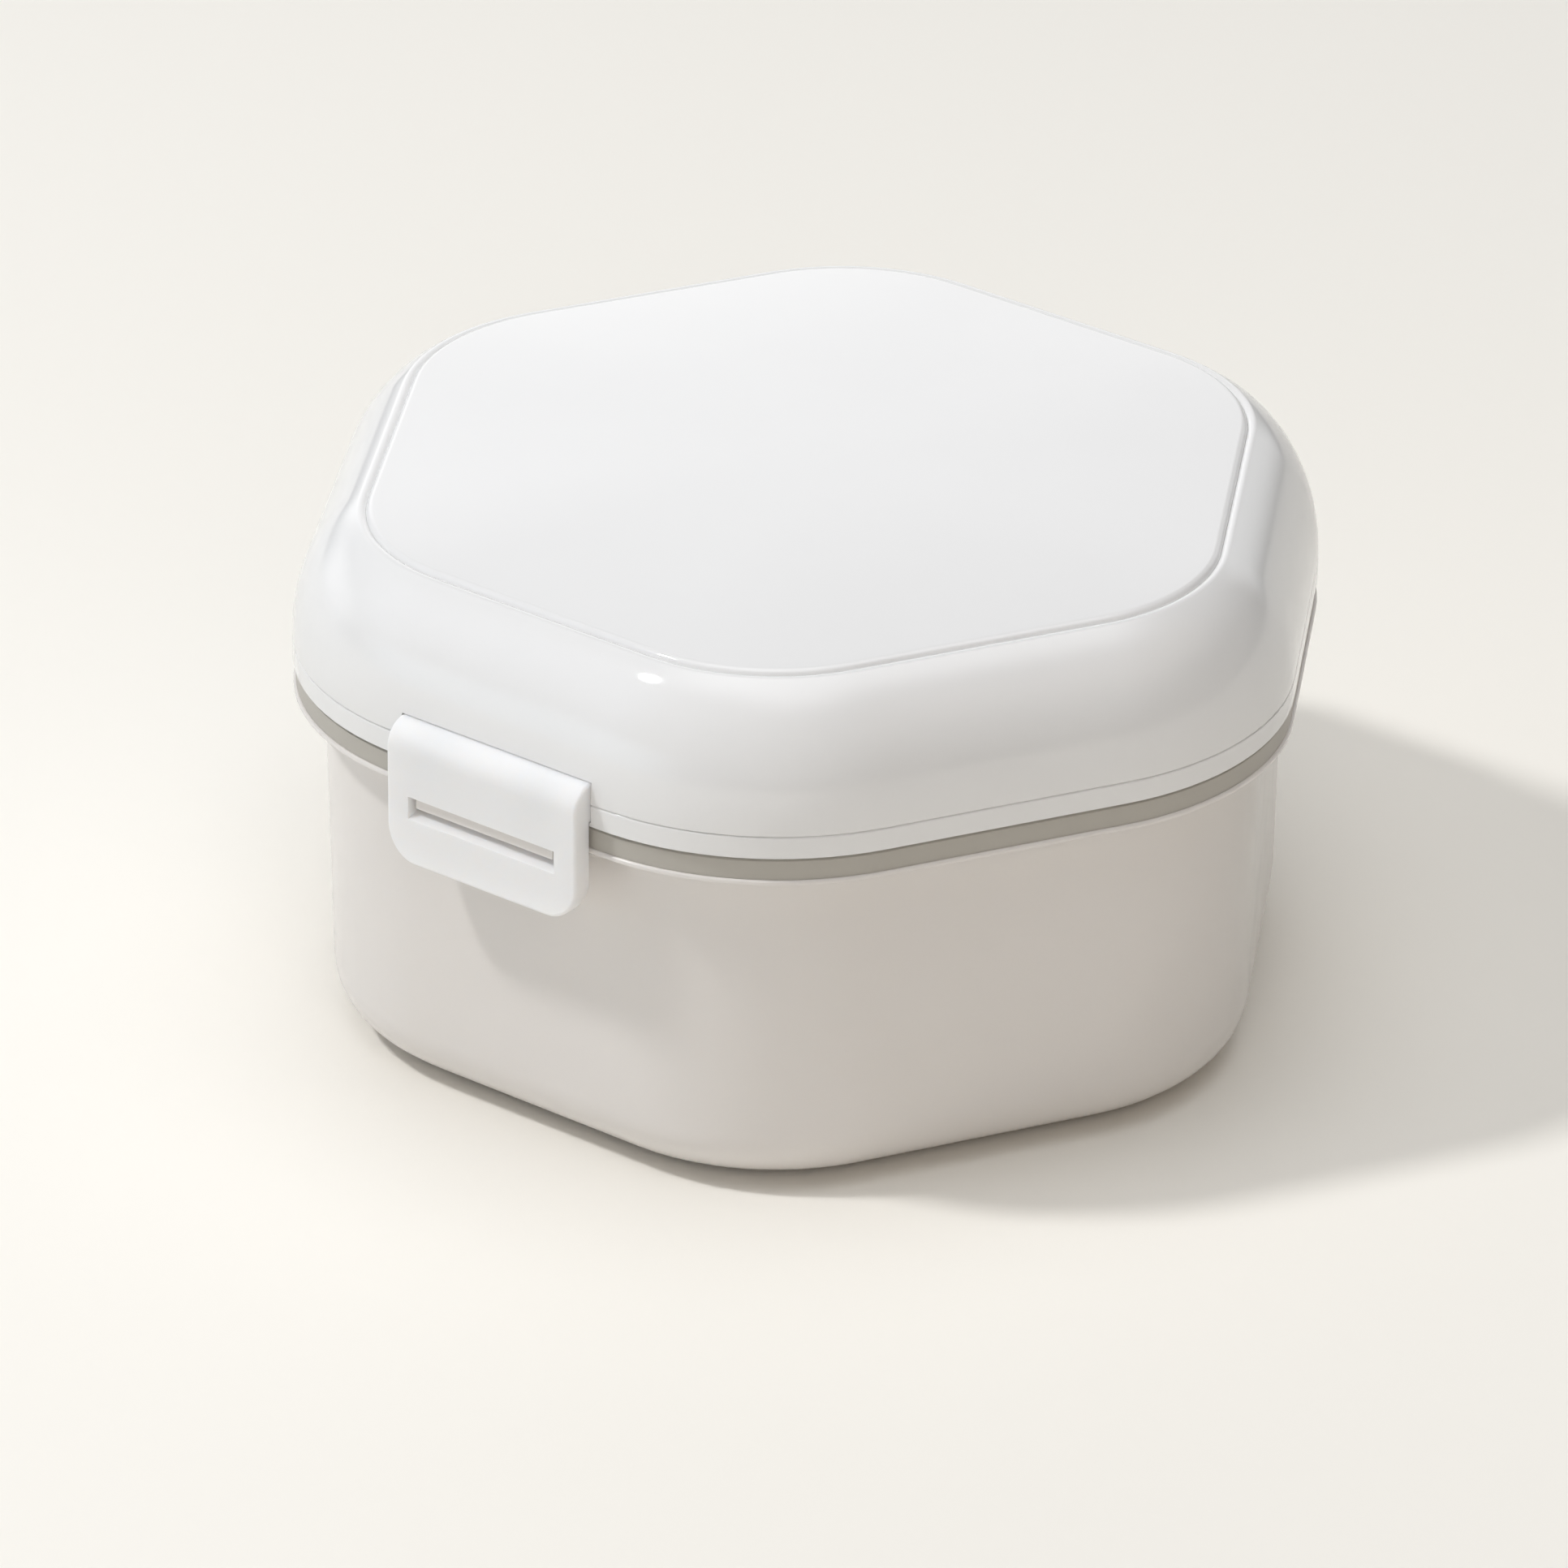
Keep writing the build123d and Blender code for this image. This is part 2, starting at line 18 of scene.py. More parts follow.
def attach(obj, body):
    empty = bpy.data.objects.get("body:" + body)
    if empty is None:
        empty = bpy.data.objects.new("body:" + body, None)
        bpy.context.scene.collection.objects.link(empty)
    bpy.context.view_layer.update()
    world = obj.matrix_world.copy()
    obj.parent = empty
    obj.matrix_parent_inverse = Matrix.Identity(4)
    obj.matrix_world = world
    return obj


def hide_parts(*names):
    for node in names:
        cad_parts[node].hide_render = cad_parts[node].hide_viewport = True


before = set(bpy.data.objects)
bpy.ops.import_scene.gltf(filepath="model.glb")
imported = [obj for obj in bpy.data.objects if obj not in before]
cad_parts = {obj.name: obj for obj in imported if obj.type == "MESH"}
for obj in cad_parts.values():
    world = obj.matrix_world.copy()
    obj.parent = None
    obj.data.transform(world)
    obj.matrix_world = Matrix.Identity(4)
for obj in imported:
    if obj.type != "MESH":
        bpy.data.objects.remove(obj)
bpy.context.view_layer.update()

log = logging.getLogger("retainer_case")

MM = 0.001
# A hair under the solid's 45 mm, so that the visual stays inside its box
RIM_APOTHEM = 44.999
RIM_CORNER_R = 25.4
# Apothem and corner radius of the small ring in the middle of a roof or floor
CENTRE = (2.0, 0.9)
# A noise of mean 0.5 seldom leaves this span
NOISE_LOW, NOISE_HIGH = 0.3, 0.7
# Segments in a corner and in an edge of the hexagon, around a pin or bore, and in the dome's curve
CORNER_STEPS, EDGE_STEPS, ROD_STEPS, CURVE_STEPS = 16, 6, 40, 199
# Points of a CAD mesh that are closer are one point, and triangles that bend less are one face
SAME_POINT_M = 1e-6
FLAT_DEGREES = 0.5


class Body(Enum):
    """The moving bodies that a piece can ride on."""

    BASE = "base"
    BASKET = "basket"
    LID = "lid"
    LATCH = "latch"


# Colour and node helpers


def linear(code: str) -> tuple[float, float, float, float]:
    """Turn an sRGB hex colour into linear RGBA.

    Args:
        code: colour such as "F4F4F2".

    Returns:
        Linear red, green, blue and an alpha of 1.
    """
    values = np.array([int(code[i:i + 2], 16) for i in (0, 2, 4)]) / 255.0
    low = values / 12.92
    high = ((values + 0.055) / 1.055) ** 2.4
    red, green, blue = np.where(values <= 0.04045, low, high)
    return float(red), float(green), float(blue), 1.0


def add_node(
    tree: bpy.types.NodeTree, kind: str, links: dict | None = None, **settings: object,
) -> bpy.types.Node:
    """Add one shader node with its settings and incoming links.

    Args:
        tree: node tree that takes the node.
        kind: Blender's identifier of the node type.
        links: input name or number to the output socket that feeds it.
        settings: node attributes, or input values where the name matches an input.

    Returns:
        The new node.
    """
    node = tree.nodes.new(kind)
    for key, value in settings.items():
        if hasattr(node, key):
            setattr(node, key, value)
        else:
            node.inputs[key.replace("_", " ")].default_value = value
    for key, socket in (links or {}).items():
        tree.links.new(socket, node.inputs[key])
    return node


@dataclass(frozen=True)
class Surface:
    """A surface finish, whose material is made once and found again by its name."""

    name: str

    def build(self) -> bpy.types.Material:
        """Make the node material.

        Returns:
            The material.
        """
        known = bpy.data.materials.get(self.name)
        if known is not None:
            return known
        material = bpy.data.materials.new(self.name)
        material.use_nodes = True
        tree = material.node_tree
        tree.nodes.clear()
        place = add_node(tree, "ShaderNodeTexCoord").outputs["Object"]
        shader = self.shader(tree, place)
        add_node(tree, "ShaderNodeOutputMaterial", {"Surface": shader.outputs["BSDF"]})
        return material

    def shader(self, tree: bpy.types.NodeTree, place: bpy.types.NodeSocket) -> bpy.types.Node:
        """Add the finish's own nodes.

        Args:
            tree: node tree of the material.
            place: Object coordinates.

        Returns:
            The Principled shader.
        """
        raise NotImplementedError


@dataclass(frozen=True)
class Finish(Surface):
    """A moulded plastic or silicone surface.

    The bump has two scales: a slow waviness of the moulding and a fine grain from the tool. The
    roughness varies a little over the surface, as a moulded and handled part does.
    """

    colour: str
    shade: str
    roughness: float
    ior: float
    wave_mm: float
    wave_depth_mm: float
    grain_mm: float
    grain_depth_mm: float
    scatter: float = 0.0
    scatter_mm: float = 1.0
    sheen: float = 0.0
    spread: float = 0.04

    def shader(self, tree: bpy.types.NodeTree, place: bpy.types.NodeSocket) -> bpy.types.Node:
        """Add the tint, the uneven gloss and the two bumps.

        Args:
            tree: node tree of the material.
            place: Object coordinates.

        Returns:
            The Principled shader.
        """
        wave, grain = (
            add_node(
                tree, "ShaderNodeTexNoise", {"Vector": place},
                Scale=1.0 / (size * MM), Detail=detail,
            ).outputs["Fac"]
            for size, detail in ((self.wave_mm, 2.0), (self.grain_mm, 3.0))
        )
        tint = add_node(tree, "ShaderNodeMix", {"Factor": wave}, data_type="RGBA")
        for socket in tint.inputs:
            if socket.type == "RGBA":
                socket.default_value = linear(self.shade if socket.name == "A" else self.colour)
        colour = next(s for s in tint.outputs if s.type == "RGBA")
        gloss = add_node(
            tree, "ShaderNodeMapRange", {"Value": wave}, From_Min=NOISE_LOW, From_Max=NOISE_HIGH,
            To_Min=self.roughness - self.spread, To_Max=self.roughness + self.spread,
        ).outputs["Result"]
        slow = add_node(
            tree, "ShaderNodeBump", {"Height": wave},
            Strength=1.0, Distance=self.wave_depth_mm * MM,
        ).outputs["Normal"]
        fine = add_node(
            tree, "ShaderNodeBump", {"Height": grain, "Normal": slow},
            Strength=1.0, Distance=self.grain_depth_mm * MM,
        ).outputs["Normal"]
        shader = add_node(
            tree, "ShaderNodeBsdfPrincipled",
            {"Base Color": colour, "Roughness": gloss, "Normal": fine}, IOR=self.ior,
        )
        shader.inputs["Subsurface Weight"].default_value = self.scatter
        # Red light travels a little further inside white plastic than blue light
        shader.inputs["Subsurface Radius"].default_value = (1.0, 0.9, 0.8)
        shader.inputs["Subsurface Scale"].default_value = self.scatter_mm * MM
        shader.inputs["Sheen Weight"].default_value = self.sheen
        return shader


@dataclass(frozen=True)
class DrawnSteel(Surface):
    """Stainless wire of the pins: fine scratches run along it, so they cross its highlights."""

    name: str = "Drawn_stainless_wire"
    colour: str = "C9CACB"
    roughness: float = 0.28
    spread: float = 0.08
    line_mm: float = 0.12
    line_depth_mm: float = 0.003
    stretch: float = 0.03

    def shader(self, tree: bpy.types.NodeTree, place: bpy.types.NodeSocket) -> bpy.types.Node:
        """Add the drawing lines, which a noise squeezed along X gives.

        Args:
            tree: node tree of the material.
            place: Object coordinates.

        Returns:
            The Principled shader.
        """
        along = add_node(tree, "ShaderNodeMapping", {"Vector": place})
        along.inputs["Scale"].default_value = (self.stretch, 1.0, 1.0)
        lines = add_node(
            tree, "ShaderNodeTexNoise", {"Vector": along.outputs["Vector"]},
            Scale=1.0 / (self.line_mm * MM), Detail=2.0,
        ).outputs["Fac"]
        gloss = add_node(
            tree, "ShaderNodeMapRange", {"Value": lines}, From_Min=NOISE_LOW, From_Max=NOISE_HIGH,
            To_Min=self.roughness - self.spread, To_Max=self.roughness + self.spread,
        ).outputs["Result"]
        bump = add_node(
            tree, "ShaderNodeBump", {"Height": lines},
            Strength=1.0, Distance=self.line_depth_mm * MM,
        ).outputs["Normal"]
        shader = add_node(
            tree, "ShaderNodeBsdfPrincipled", {"Roughness": gloss, "Normal": bump}, Metallic=1.0,
        )
        shader.inputs["Base Color"].default_value = linear(self.colour)
        return shader


# High-gloss white ABS: a polished tool gives sharp soft-box reflections and only a faint waviness
GLOSS_ABS = Finish(
    "Gloss_white_ABS", "EAEAEA", "E8E8E8", roughness=0.06, ior=1.53, wave_mm=9.0,
    wave_depth_mm=0.002, grain_mm=0.8, grain_depth_mm=0.0002, spread=0.012,
)
# White ABS of the cup, a little less polished, so its reflections are broader. Its tint is partly
# the plastic's own and partly painted light: it is warmer and a little darker than the lid to stand
# in for the warm floor bounce and the shade under the lid's rim.
CUP_ABS = Finish(
    "Cup_ABS_painted_bounce_and_shade", "E3DFDC", "E1DDD9", roughness=0.22, ior=1.53, wave_mm=11.0,
    wave_depth_mm=0.006, grain_mm=0.7, grain_depth_mm=0.0006, scatter=0.08, scatter_mm=1.5,
)
# Fine-textured white ABS of the latch: spark-eroded grain spreads the light evenly
LATCH_ABS = Finish(
    "Satin_white_ABS", "EDEDEE", "EAEAEA", roughness=0.7, ior=1.53, wave_mm=5.0,
    wave_depth_mm=0.003, grain_mm=0.25, grain_depth_mm=0.004, scatter=0.5, scatter_mm=2.0,
    spread=0.05,
)
# Warm grey silicone rubber: matte skin with a soft dusty sheen
SILICONE = Finish(
    "Moulded_grey_silicone", "B7B3AB", "B2AEA6", roughness=0.55, ior=1.41, wave_mm=4.0,
    wave_depth_mm=0.006, grain_mm=0.2, grain_depth_mm=0.004, sheen=0.15,
)
# Polypropylene of the basket: slightly waxy and translucent
BASKET_PP = Finish(
    "Moulded_white_polypropylene", "ECECE9", "E6E6E3", roughness=0.36, ior=1.49, wave_mm=6.0,
    wave_depth_mm=0.006, grain_mm=0.4, grain_depth_mm=0.002, scatter=0.15, scatter_mm=1.2,
)
STEEL = DrawnSteel()


# Surface helpers


def hexagon_rings(apothem: np.ndarray, corner_r: np.ndarray) -> np.ndarray:
    """Work out rounded hexagons as rows of points.

    A corner arc of radius r is centred at (a - r) / cos 30 degrees from the middle, on a multiple
    of 60 degrees, and spans 30 degrees each side. Straight edges join the arcs. Flats face -Y and
    +Y.

    Args:
        apothem: apothem a of each hexagon, in millimetres.
        corner_r: corner radius r of each hexagon.

    Returns:
        Array (hexagons, points, 2), anticlockwise.
    """
    a = apothem[:, None, None]
    r = corner_r[:, None, None]
    turn = np.radians(60.0 * np.arange(6))[None, :, None]
    sweep = np.radians(np.linspace(-30.0, 30.0, CORNER_STEPS + 1))[None, None, :]
    centre = (a - r) / math.cos(math.radians(30.0))
    x = centre * np.cos(turn) + r * np.cos(turn + sweep)
    y = centre * np.sin(turn) + r * np.sin(turn + sweep)
    arcs = np.stack([x, y], axis=-1)
    starts = np.roll(arcs[:, :, 0], -1, axis=1)[:, :, None]
    ends = arcs[:, :, -1][:, :, None]
    share = (np.arange(1, EDGE_STEPS) / EDGE_STEPS)[None, None, :, None]
    edges = ends + (starts - ends) * share
    return np.concatenate([arcs, edges], axis=2).reshape(len(apothem), -1, 2)


def rounded_path(corners: list[tuple[float, ...]], closed: bool, steps: int = 5) -> np.ndarray:
    """Round the corners of a polyline with tangent arcs.

    At a corner of interior angle w an arc of radius r starts r / tan(w / 2) before it and ends as
    far behind it. Columns after the second, such as the corner radius, are blended linearly.

    Args:
        corners: rows (x, z, ..., fillet radius).
        closed: whether the last corner joins the first.
        steps: segments in each arc.

    Returns:
        Array of rows without the fillet radius.
    """
    table = np.array(corners, dtype=float)
    count = len(table)
    rows: list[np.ndarray] = []
    for i in range(count):
        here = table[i, :-1]
        radius = table[i, -1]
        end_point = not closed and i in (0, count - 1)
        if radius <= 0 or end_point:
            rows.append(here[None, :])
            continue
        back = table[i - 1, :-1] - here
        ahead = table[(i + 1) % count, :-1] - here
        back_length = np.linalg.norm(back[:2])
        ahead_length = np.linalg.norm(ahead[:2])
        u = back / back_length
        v = ahead / ahead_length
        cosine = float(np.clip(np.dot(u[:2], v[:2]), -1.0, 1.0))
        half = math.acos(cosine) / 2
        cut = min(radius / math.tan(half), 0.49 * back_length, 0.49 * ahead_length)
        radius = cut * math.tan(half)
        middle = (u[:2] + v[:2]) / np.linalg.norm(u[:2] + v[:2])
        centre = here[:2] + middle * radius / math.sin(half)
        start = here[:2] + u[:2] * cut
        finish = here[:2] + v[:2] * cut
        angle_a = math.atan2(start[1] - centre[1], start[0] - centre[0])
        angle_b = math.atan2(finish[1] - centre[1], finish[0] - centre[0])
        turn = (angle_b - angle_a + math.pi) % (2 * math.pi) - math.pi
        t = np.linspace(0.0, 1.0, steps + 1)
        angle = angle_a + turn * t
        bend = centre + radius * np.column_stack([np.cos(angle), np.sin(angle)])
        extra = (here + u * cut)[2:] * (1 - t)[:, None] + (here + v * cut)[2:] * t[:, None]
        rows.append(np.concatenate([bend, extra], axis=1))
    return np.concatenate(rows)


def dense_path(path: np.ndarray, longest: float) -> np.ndarray:
    """Add evenly spaced rows on the long segments of an open path.

    Args:
        path: rows of points.
        longest: longest segment that stays whole, in millimetres.

    Returns:
        The path with its extra rows.
    """
    parts = []
    for here, after in zip(path[:-1], path[1:]):
        length = float(np.linalg.norm(after[:2] - here[:2]))
        count = max(1, math.ceil(length / longest))
        t = (np.arange(count) / count)[:, None]
        parts.append(here * (1 - t) + after * t)
    return np.concatenate([*parts, path[-1:]])


def link(name: str, data: bpy.types.ID) -> bpy.types.Object:
    """Put a mesh, lamp or camera into the scene as an object at the origin."""
    thing = bpy.data.objects.new(name, data)
    bpy.context.scene.collection.objects.link(thing)
    return thing


def raw_object(name: str, points: np.ndarray, faces: list) -> bpy.types.Object:
    """Put an undressed mesh, with its points in millimetres, into the scene."""
    mesh = bpy.data.meshes.new(name)
    mesh.from_pydata((np.asarray(points) * MM).tolist(), [], faces)
    mesh.update()
    return link(name, mesh)


def smooth(piece: bpy.types.Object) -> None:
    """Shade every face of a mesh smooth."""
    faces = piece.data.polygons
    faces.foreach_set("use_smooth", np.ones(len(faces), dtype=bool))


def dress(
    piece: bpy.types.Object, body: Body, finish: Surface, nodes: tuple[str, ...],
    sharp: float = 40.0,
) -> None:
    """Shade and paint a piece, hang it on its body and hide the CAD nodes that it stands for.

    Args:
        piece: object at the origin with its place in its mesh.
        body: body that the piece rides on.
        finish: surface finish.
        nodes: CAD nodes that the piece stands for.
        sharp: angle in degrees above which an edge is shaded as a crease.
    """
    smooth(piece)
    piece.data.set_sharp_from_angle(angle=math.radians(sharp))
    weigh = piece.modifiers.new("even_normals", "WEIGHTED_NORMAL")
    weigh.keep_sharp = True
    bake_modifiers(piece)
    mesh = piece.data
    mesh.materials.clear()
    mesh.materials.append(finish.build())
    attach(piece, body.value)
    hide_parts(*nodes)
    log.info("%s: %d faces on %s", piece.name, len(mesh.polygons), body.value)


def ring(row: int, around: int) -> list[int]:
    """Vertex indices of one row of a skin that has the given number of points around."""
    return list(range(row * around, (row + 1) * around))


def skin_faces(rows: int, around: int, closed: bool) -> list:
    """Join rows of points that each run once round the piece.

    Args:
        rows: number of rows.
        around: number of points in a row.
        closed: whether the last row joins the first. If not, one flat face closes each end.

    Returns:
        Vertex indices of each face.
    """
    row = np.arange(rows if closed else rows - 1)[:, None]
    col = np.arange(around)[None, :]
    up = (row + 1) % rows
    right = (col + 1) % around
    corners = [row * around + col, row * around + right, up * around + right, up * around + col]
    faces = np.stack(corners, axis=-1).reshape(-1, 4).tolist()
    if not closed:
        faces.append(ring(0, around)[::-1])
        faces.append(ring(rows - 1, around))
    return faces


def hexagon_skin(path: np.ndarray, closed: bool) -> tuple[np.ndarray, list]:
    """Carry a profile round the rounded hexagon.

    Row i of the path is (apothem, height, corner radius), and the surface is the grid of ring
    points over the rows.

    Args:
        path: rows (apothem, height, corner radius).
        closed: whether the last row joins the first, as on a seal.

    Returns:
        Vertices in millimetres and faces.
    """
    rings = hexagon_rings(path[:, 0], path[:, 2])
    rows, around = rings.shape[:2]
    heights = np.repeat(path[:, 1], around).reshape(rows, around, 1)
    points = np.concatenate([rings, heights], axis=2).reshape(-1, 3)
    return points, skin_faces(rows, around, closed)


def corner_radius(apothem: float) -> float:
    """Corner radius of an outline that runs parallel to the rim."""
    return RIM_CORNER_R - (RIM_APOTHEM - apothem)


def parallel_rows(rows: list[tuple[float, float, float]]) -> list[tuple[float, ...]]:
    """Give rows (apothem, height, fillet) of rim-parallel outlines their corner radius."""
    return [(a, z, corner_radius(a), r) for a, z, r in rows]


def plain_rows(rows: np.ndarray) -> list[tuple[float, ...]]:
    """Give rows (apothem, height, corner radius) a fillet of 0."""
    return [(*row, 0.0) for row in rows]


def centre_row(height: float) -> tuple[float, ...]:
    """Row of the small ring whose inside a flat face fills."""
    return CENTRE[0], height, CENTRE[1], 0.0


def extruded(outline: np.ndarray, start: float, end: float) -> tuple[np.ndarray, list]:
    """Carry a (y, z) outline along X.

    Args:
        outline: anticlockwise points as seen from +X.
        start: lowest x.
        end: highest x.

    Returns:
        Vertices in millimetres and faces, both ends closed.
    """
    count = len(outline)
    low = np.column_stack([np.full(count, start), outline])
    high = np.column_stack([np.full(count, end), outline])
    return np.concatenate([low, high]), skin_faces(2, count, closed=False)


def arc(y: float, z: float, radius: float, start: float, end: float, steps: int) -> np.ndarray:
    """Points (y, z) on a circle from one angle to another, in degrees, in the YZ plane."""
    angle = np.radians(np.linspace(start, end, steps + 1))
    return np.column_stack([y + radius * np.cos(angle), z + radius * np.sin(angle)])


def rod_mesh(
    y: float, z: float, radius: float, start: float, end: float, edge: float = 0.0,
) -> tuple[np.ndarray, list]:
    """Work out a round rod along X with slightly rounded ends.

    At angle f of the rounding e, a ring lies e (1 - cos f) inside the end and is e (1 - sin f)
    smaller than the rod.

    Args:
        y: axis y.
        z: axis z.
        radius: rod radius.
        start: lowest x.
        end: highest x.
        edge: rounding of the ends.

    Returns:
        Vertices in millimetres and faces.
    """
    turn = np.linspace(0.0, math.pi / 2, 5) if edge > 0 else np.zeros(1)
    inward = edge * (1 - np.cos(turn))
    trim = edge * (1 - np.sin(turn))
    xs = np.concatenate([start + inward, end - inward[::-1]])
    rs = radius - np.concatenate([trim, trim[::-1]])
    angle = np.linspace(0.0, 2 * math.pi, ROD_STEPS, endpoint=False)
    points = np.stack([
        np.repeat(xs[:, None], ROD_STEPS, axis=1),
        y + rs[:, None] * np.cos(angle),
        z + rs[:, None] * np.sin(angle),
    ], axis=-1).reshape(-1, 3)
    return points, skin_faces(len(xs), ROD_STEPS, closed=False)


def rod(name: str, y: float, z: float, radius: float, start: float, end: float) -> bpy.types.Object:
    """Make an undressed rod along X, to cut with."""
    return raw_object(name, *rod_mesh(y, z, radius, start, end))


def bake_modifiers(piece: bpy.types.Object) -> None:
    """Turn a piece's modifiers into its mesh."""
    graph = bpy.context.evaluated_depsgraph_get()
    graph.update()
    fresh = bpy.data.meshes.new_from_object(piece.evaluated_get(graph))
    piece.modifiers.clear()
    piece.data = fresh


def cut(piece: bpy.types.Object, cutter: bpy.types.Object) -> None:
    """Take one closed shape out of another and remove the cutter.

    Args:
        piece: object that is cut.
        cutter: closed object, removed afterwards.
    """
    tool = piece.modifiers.new("cut", "BOOLEAN")
    tool.operation = "DIFFERENCE"
    tool.solver = "EXACT"
    tool.object = cutter
    bake_modifiers(piece)
    bpy.data.objects.remove(cutter)


def bevel(piece: bpy.types.Object, width_mm: float, angle: float = 50.0) -> None:
    """Round the creases of a piece.

    Args:
        piece: object with a clean mesh.
        width_mm: bevel width.
        angle: smallest crease that is rounded, in degrees.
    """
    edge = piece.modifiers.new("rounded_edges", "BEVEL")
    edge.width = width_mm * MM
    edge.segments = 2
    edge.limit_method = "ANGLE"
    edge.angle_limit = math.radians(angle)
    bake_modifiers(piece)


def merged_copy(node: str, name: str, whole_faces: bool) -> bpy.types.Object:
    """Copy a CAD node with its loose triangles joined.

    Args:
        node: CAD node.
        name: name of the copy.
        whole_faces: whether the triangles of a flat face become one face, which a bevel needs.

    Returns:
        The undressed copy.
    """
    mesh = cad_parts[node].data.copy()
    mesh.name = name
    work = bmesh.new()
    work.from_mesh(mesh)
    bmesh.ops.remove_doubles(work, verts=work.verts, dist=SAME_POINT_M)
    if whole_faces:
        bmesh.ops.dissolve_limit(
            work, angle_limit=math.radians(FLAT_DEGREES), verts=work.verts, edges=work.edges,
            use_dissolve_boundaries=False,
        )
    work.to_mesh(mesh)
    work.free()
    stored = mesh.attributes.get("custom_normal")
    if stored is not None:
        mesh.attributes.remove(stored)
    return link(name, mesh)


@dataclass
class Dome:
    """The lid's shoulder: a Bezier curve from the rim up to the groove around the top panel."""

    bottom: float = 37.8
    top: float = 50.5
    inset: float = 6.7
    low_handle: float = 6.8
    top_handle: float = 3.49
    top_angle: float = 23.6
    corner_shrink: float = 1.15

    def curve(self) -> tuple[np.ndarray, np.ndarray]:
        """Sample the shoulder.

        The curve is the cubic Bezier of (0, 0), (0, low_handle), the groove point moved back along
        its tangent by top_handle, and the groove point.

        Returns:
            Insets and heights in millimetres.
        """
        t = np.linspace(0.0, 1.0, CURVE_STEPS + 1)[:, None]
        angle = math.radians(self.top_angle)
        tangent = np.array([math.cos(angle), math.sin(angle)])
        start = np.array([0.0, self.bottom])
        end = np.array([self.inset, self.top])
        low = start + (0.0, self.low_handle)
        high = end - tangent * self.top_handle
        points = (1 - t) ** 3 * start + 3 * t * (1 - t) ** 2 * low
        points = points + 3 * t * t * (1 - t) * high + t ** 3 * end
        return points[:, 0], points[:, 1]

    def radius(self, inset: np.ndarray | float) -> np.ndarray | float:
        """Corner radius of the shoulder's outline, which shrinks faster than its inset grows."""
        return RIM_CORNER_R - self.corner_shrink * inset

    def rows(self, extra: float, low: float, high: float, count: int) -> np.ndarray:
        """Sample rows (apothem, height, corner radius) at even steps along the shoulder.

        Args:
            extra: distance inside the outer surface.
            low: lowest height.
            high: highest height.
            count: number of rows.

        Returns:
            Array (count, 3).
        """
        insets, heights = self.curve()
        length = np.concatenate([[0.0], np.cumsum(np.hypot(np.diff(insets), np.diff(heights)))])
        first, last = np.interp([low, high], heights, length)
        steps = np.linspace(first, last, count)
        inset = np.interp(steps, length, insets)
        z = np.interp(steps, length, heights)
        return np.column_stack([RIM_APOTHEM - inset - extra, z, self.radius(inset) - extra])

    def lip(self, apothem: float, height: float, steep: float) -> np.ndarray:
        """Round the crest of the shoulder over into the groove.

        An arc of radius r leaves the shoulder at (u, z), where the slope is s, and reaches the
        bottom of the groove with slope e, at apothem u - r (sin s + sin e) and height
        z - r (cos s - cos e).

        Args:
            apothem: apothem of the groove's bottom.
            height: height of the groove's bottom.
            steep: slope e in degrees.

        Returns:
            Rows (apothem, height, corner radius) from the shoulder down into the groove.
        """
        insets, heights = self.curve()
        crest = slice(-len(insets) // 4, None)
        u, z = RIM_APOTHEM - insets[crest], heights[crest]
        slope = np.arctan2(np.gradient(z), -np.gradient(u))
        end = math.radians(steep)
        radius = (u - apothem) / (np.sin(slope) + math.sin(end))
        bottom = z - radius * (np.cos(slope) - math.cos(end))
        u, z, s, r = (float(np.interp(height, bottom, values)) for values in (u, z, slope, radius))
        turn = np.linspace(s, -end, 11)
        reach = u - r * (math.sin(s) - np.sin(turn))
        rise = z - r * (math.cos(s) - np.cos(turn))
        return np.column_stack([reach, rise, self.radius(RIM_APOTHEM - reach)])


@dataclass
class HingeSizes:
    """Rear hinge: place of its axis, radii and widths along X."""

    y: float = 47.4
    z: float = 34.57
    radius: float = 2.1
    pin_r: float = 0.75
    bore_r: float = 0.8
    span: float = 21.2
    middle: float = 12.0
    gap: float = 0.15
    pin_inset: float = 0.2
    pin_edge: float = 0.15
    # Arcs of the knuckles' outlines in degrees, and the rounding of their edges: outer, middle
    outer_arc: tuple[float, float] = (-5.5, 180.0)
    middle_arc: tuple[float, float] = (-170.0, 50.0)
    outer_edge: float = 0.18
    middle_edge: float = 0.15


@dataclass
class LatchSizes:
    """Latch: place of its pin, the roll, the lugs and the pocket that it turns in."""

    y: float = -44.85
    z: float = 37.6
    roll_r: float = 2.3
    width: float = 21.2
    gap: float = 0.03
    pocket_floor: float = 36.1
    lug_r: float = 1.3
    lug_width: float = 3.0
    lug_offset: float = 5.5
    lug_edge: float = 0.1
    lug_root: float = 0.2
    pin_r: float = 0.5
    pin_edge: float = 0.1
    pin_ends: tuple[float, float] = (-10.3, 9.7)
    swing: float = 100.0
    reach: float = 3.0

    def pocket(self) -> bpy.types.Object:
        """Make the closed shape of the pocket.

        Its outline is the roll's circle with the gap, cut level at the pocket floor. At the top it
        leaves the circle along the plate of the fully open latch, which points swing - 90 degrees
        upwards, and runs forward out of the lid.

        Returns:
            An undressed object to cut with.
        """
        half = self.width / 2 + self.gap
        radius = self.roll_r + self.gap
        drop = math.degrees(math.asin((self.z - self.pocket_floor) / radius))
        back = arc(self.y, self.z, radius, -drop, 180.0 - self.swing, 20)
        forward = self.y - self.reach
        rise = (back[-1, 0] - forward) * math.tan(math.radians(self.swing - 90.0))
        front = np.array([[forward, back[-1, 1] + rise], [forward, self.pocket_floor]])
        outline = np.concatenate([back, front])
        return raw_object("latch_pocket_cutter", *extruded(outline, -half, half))


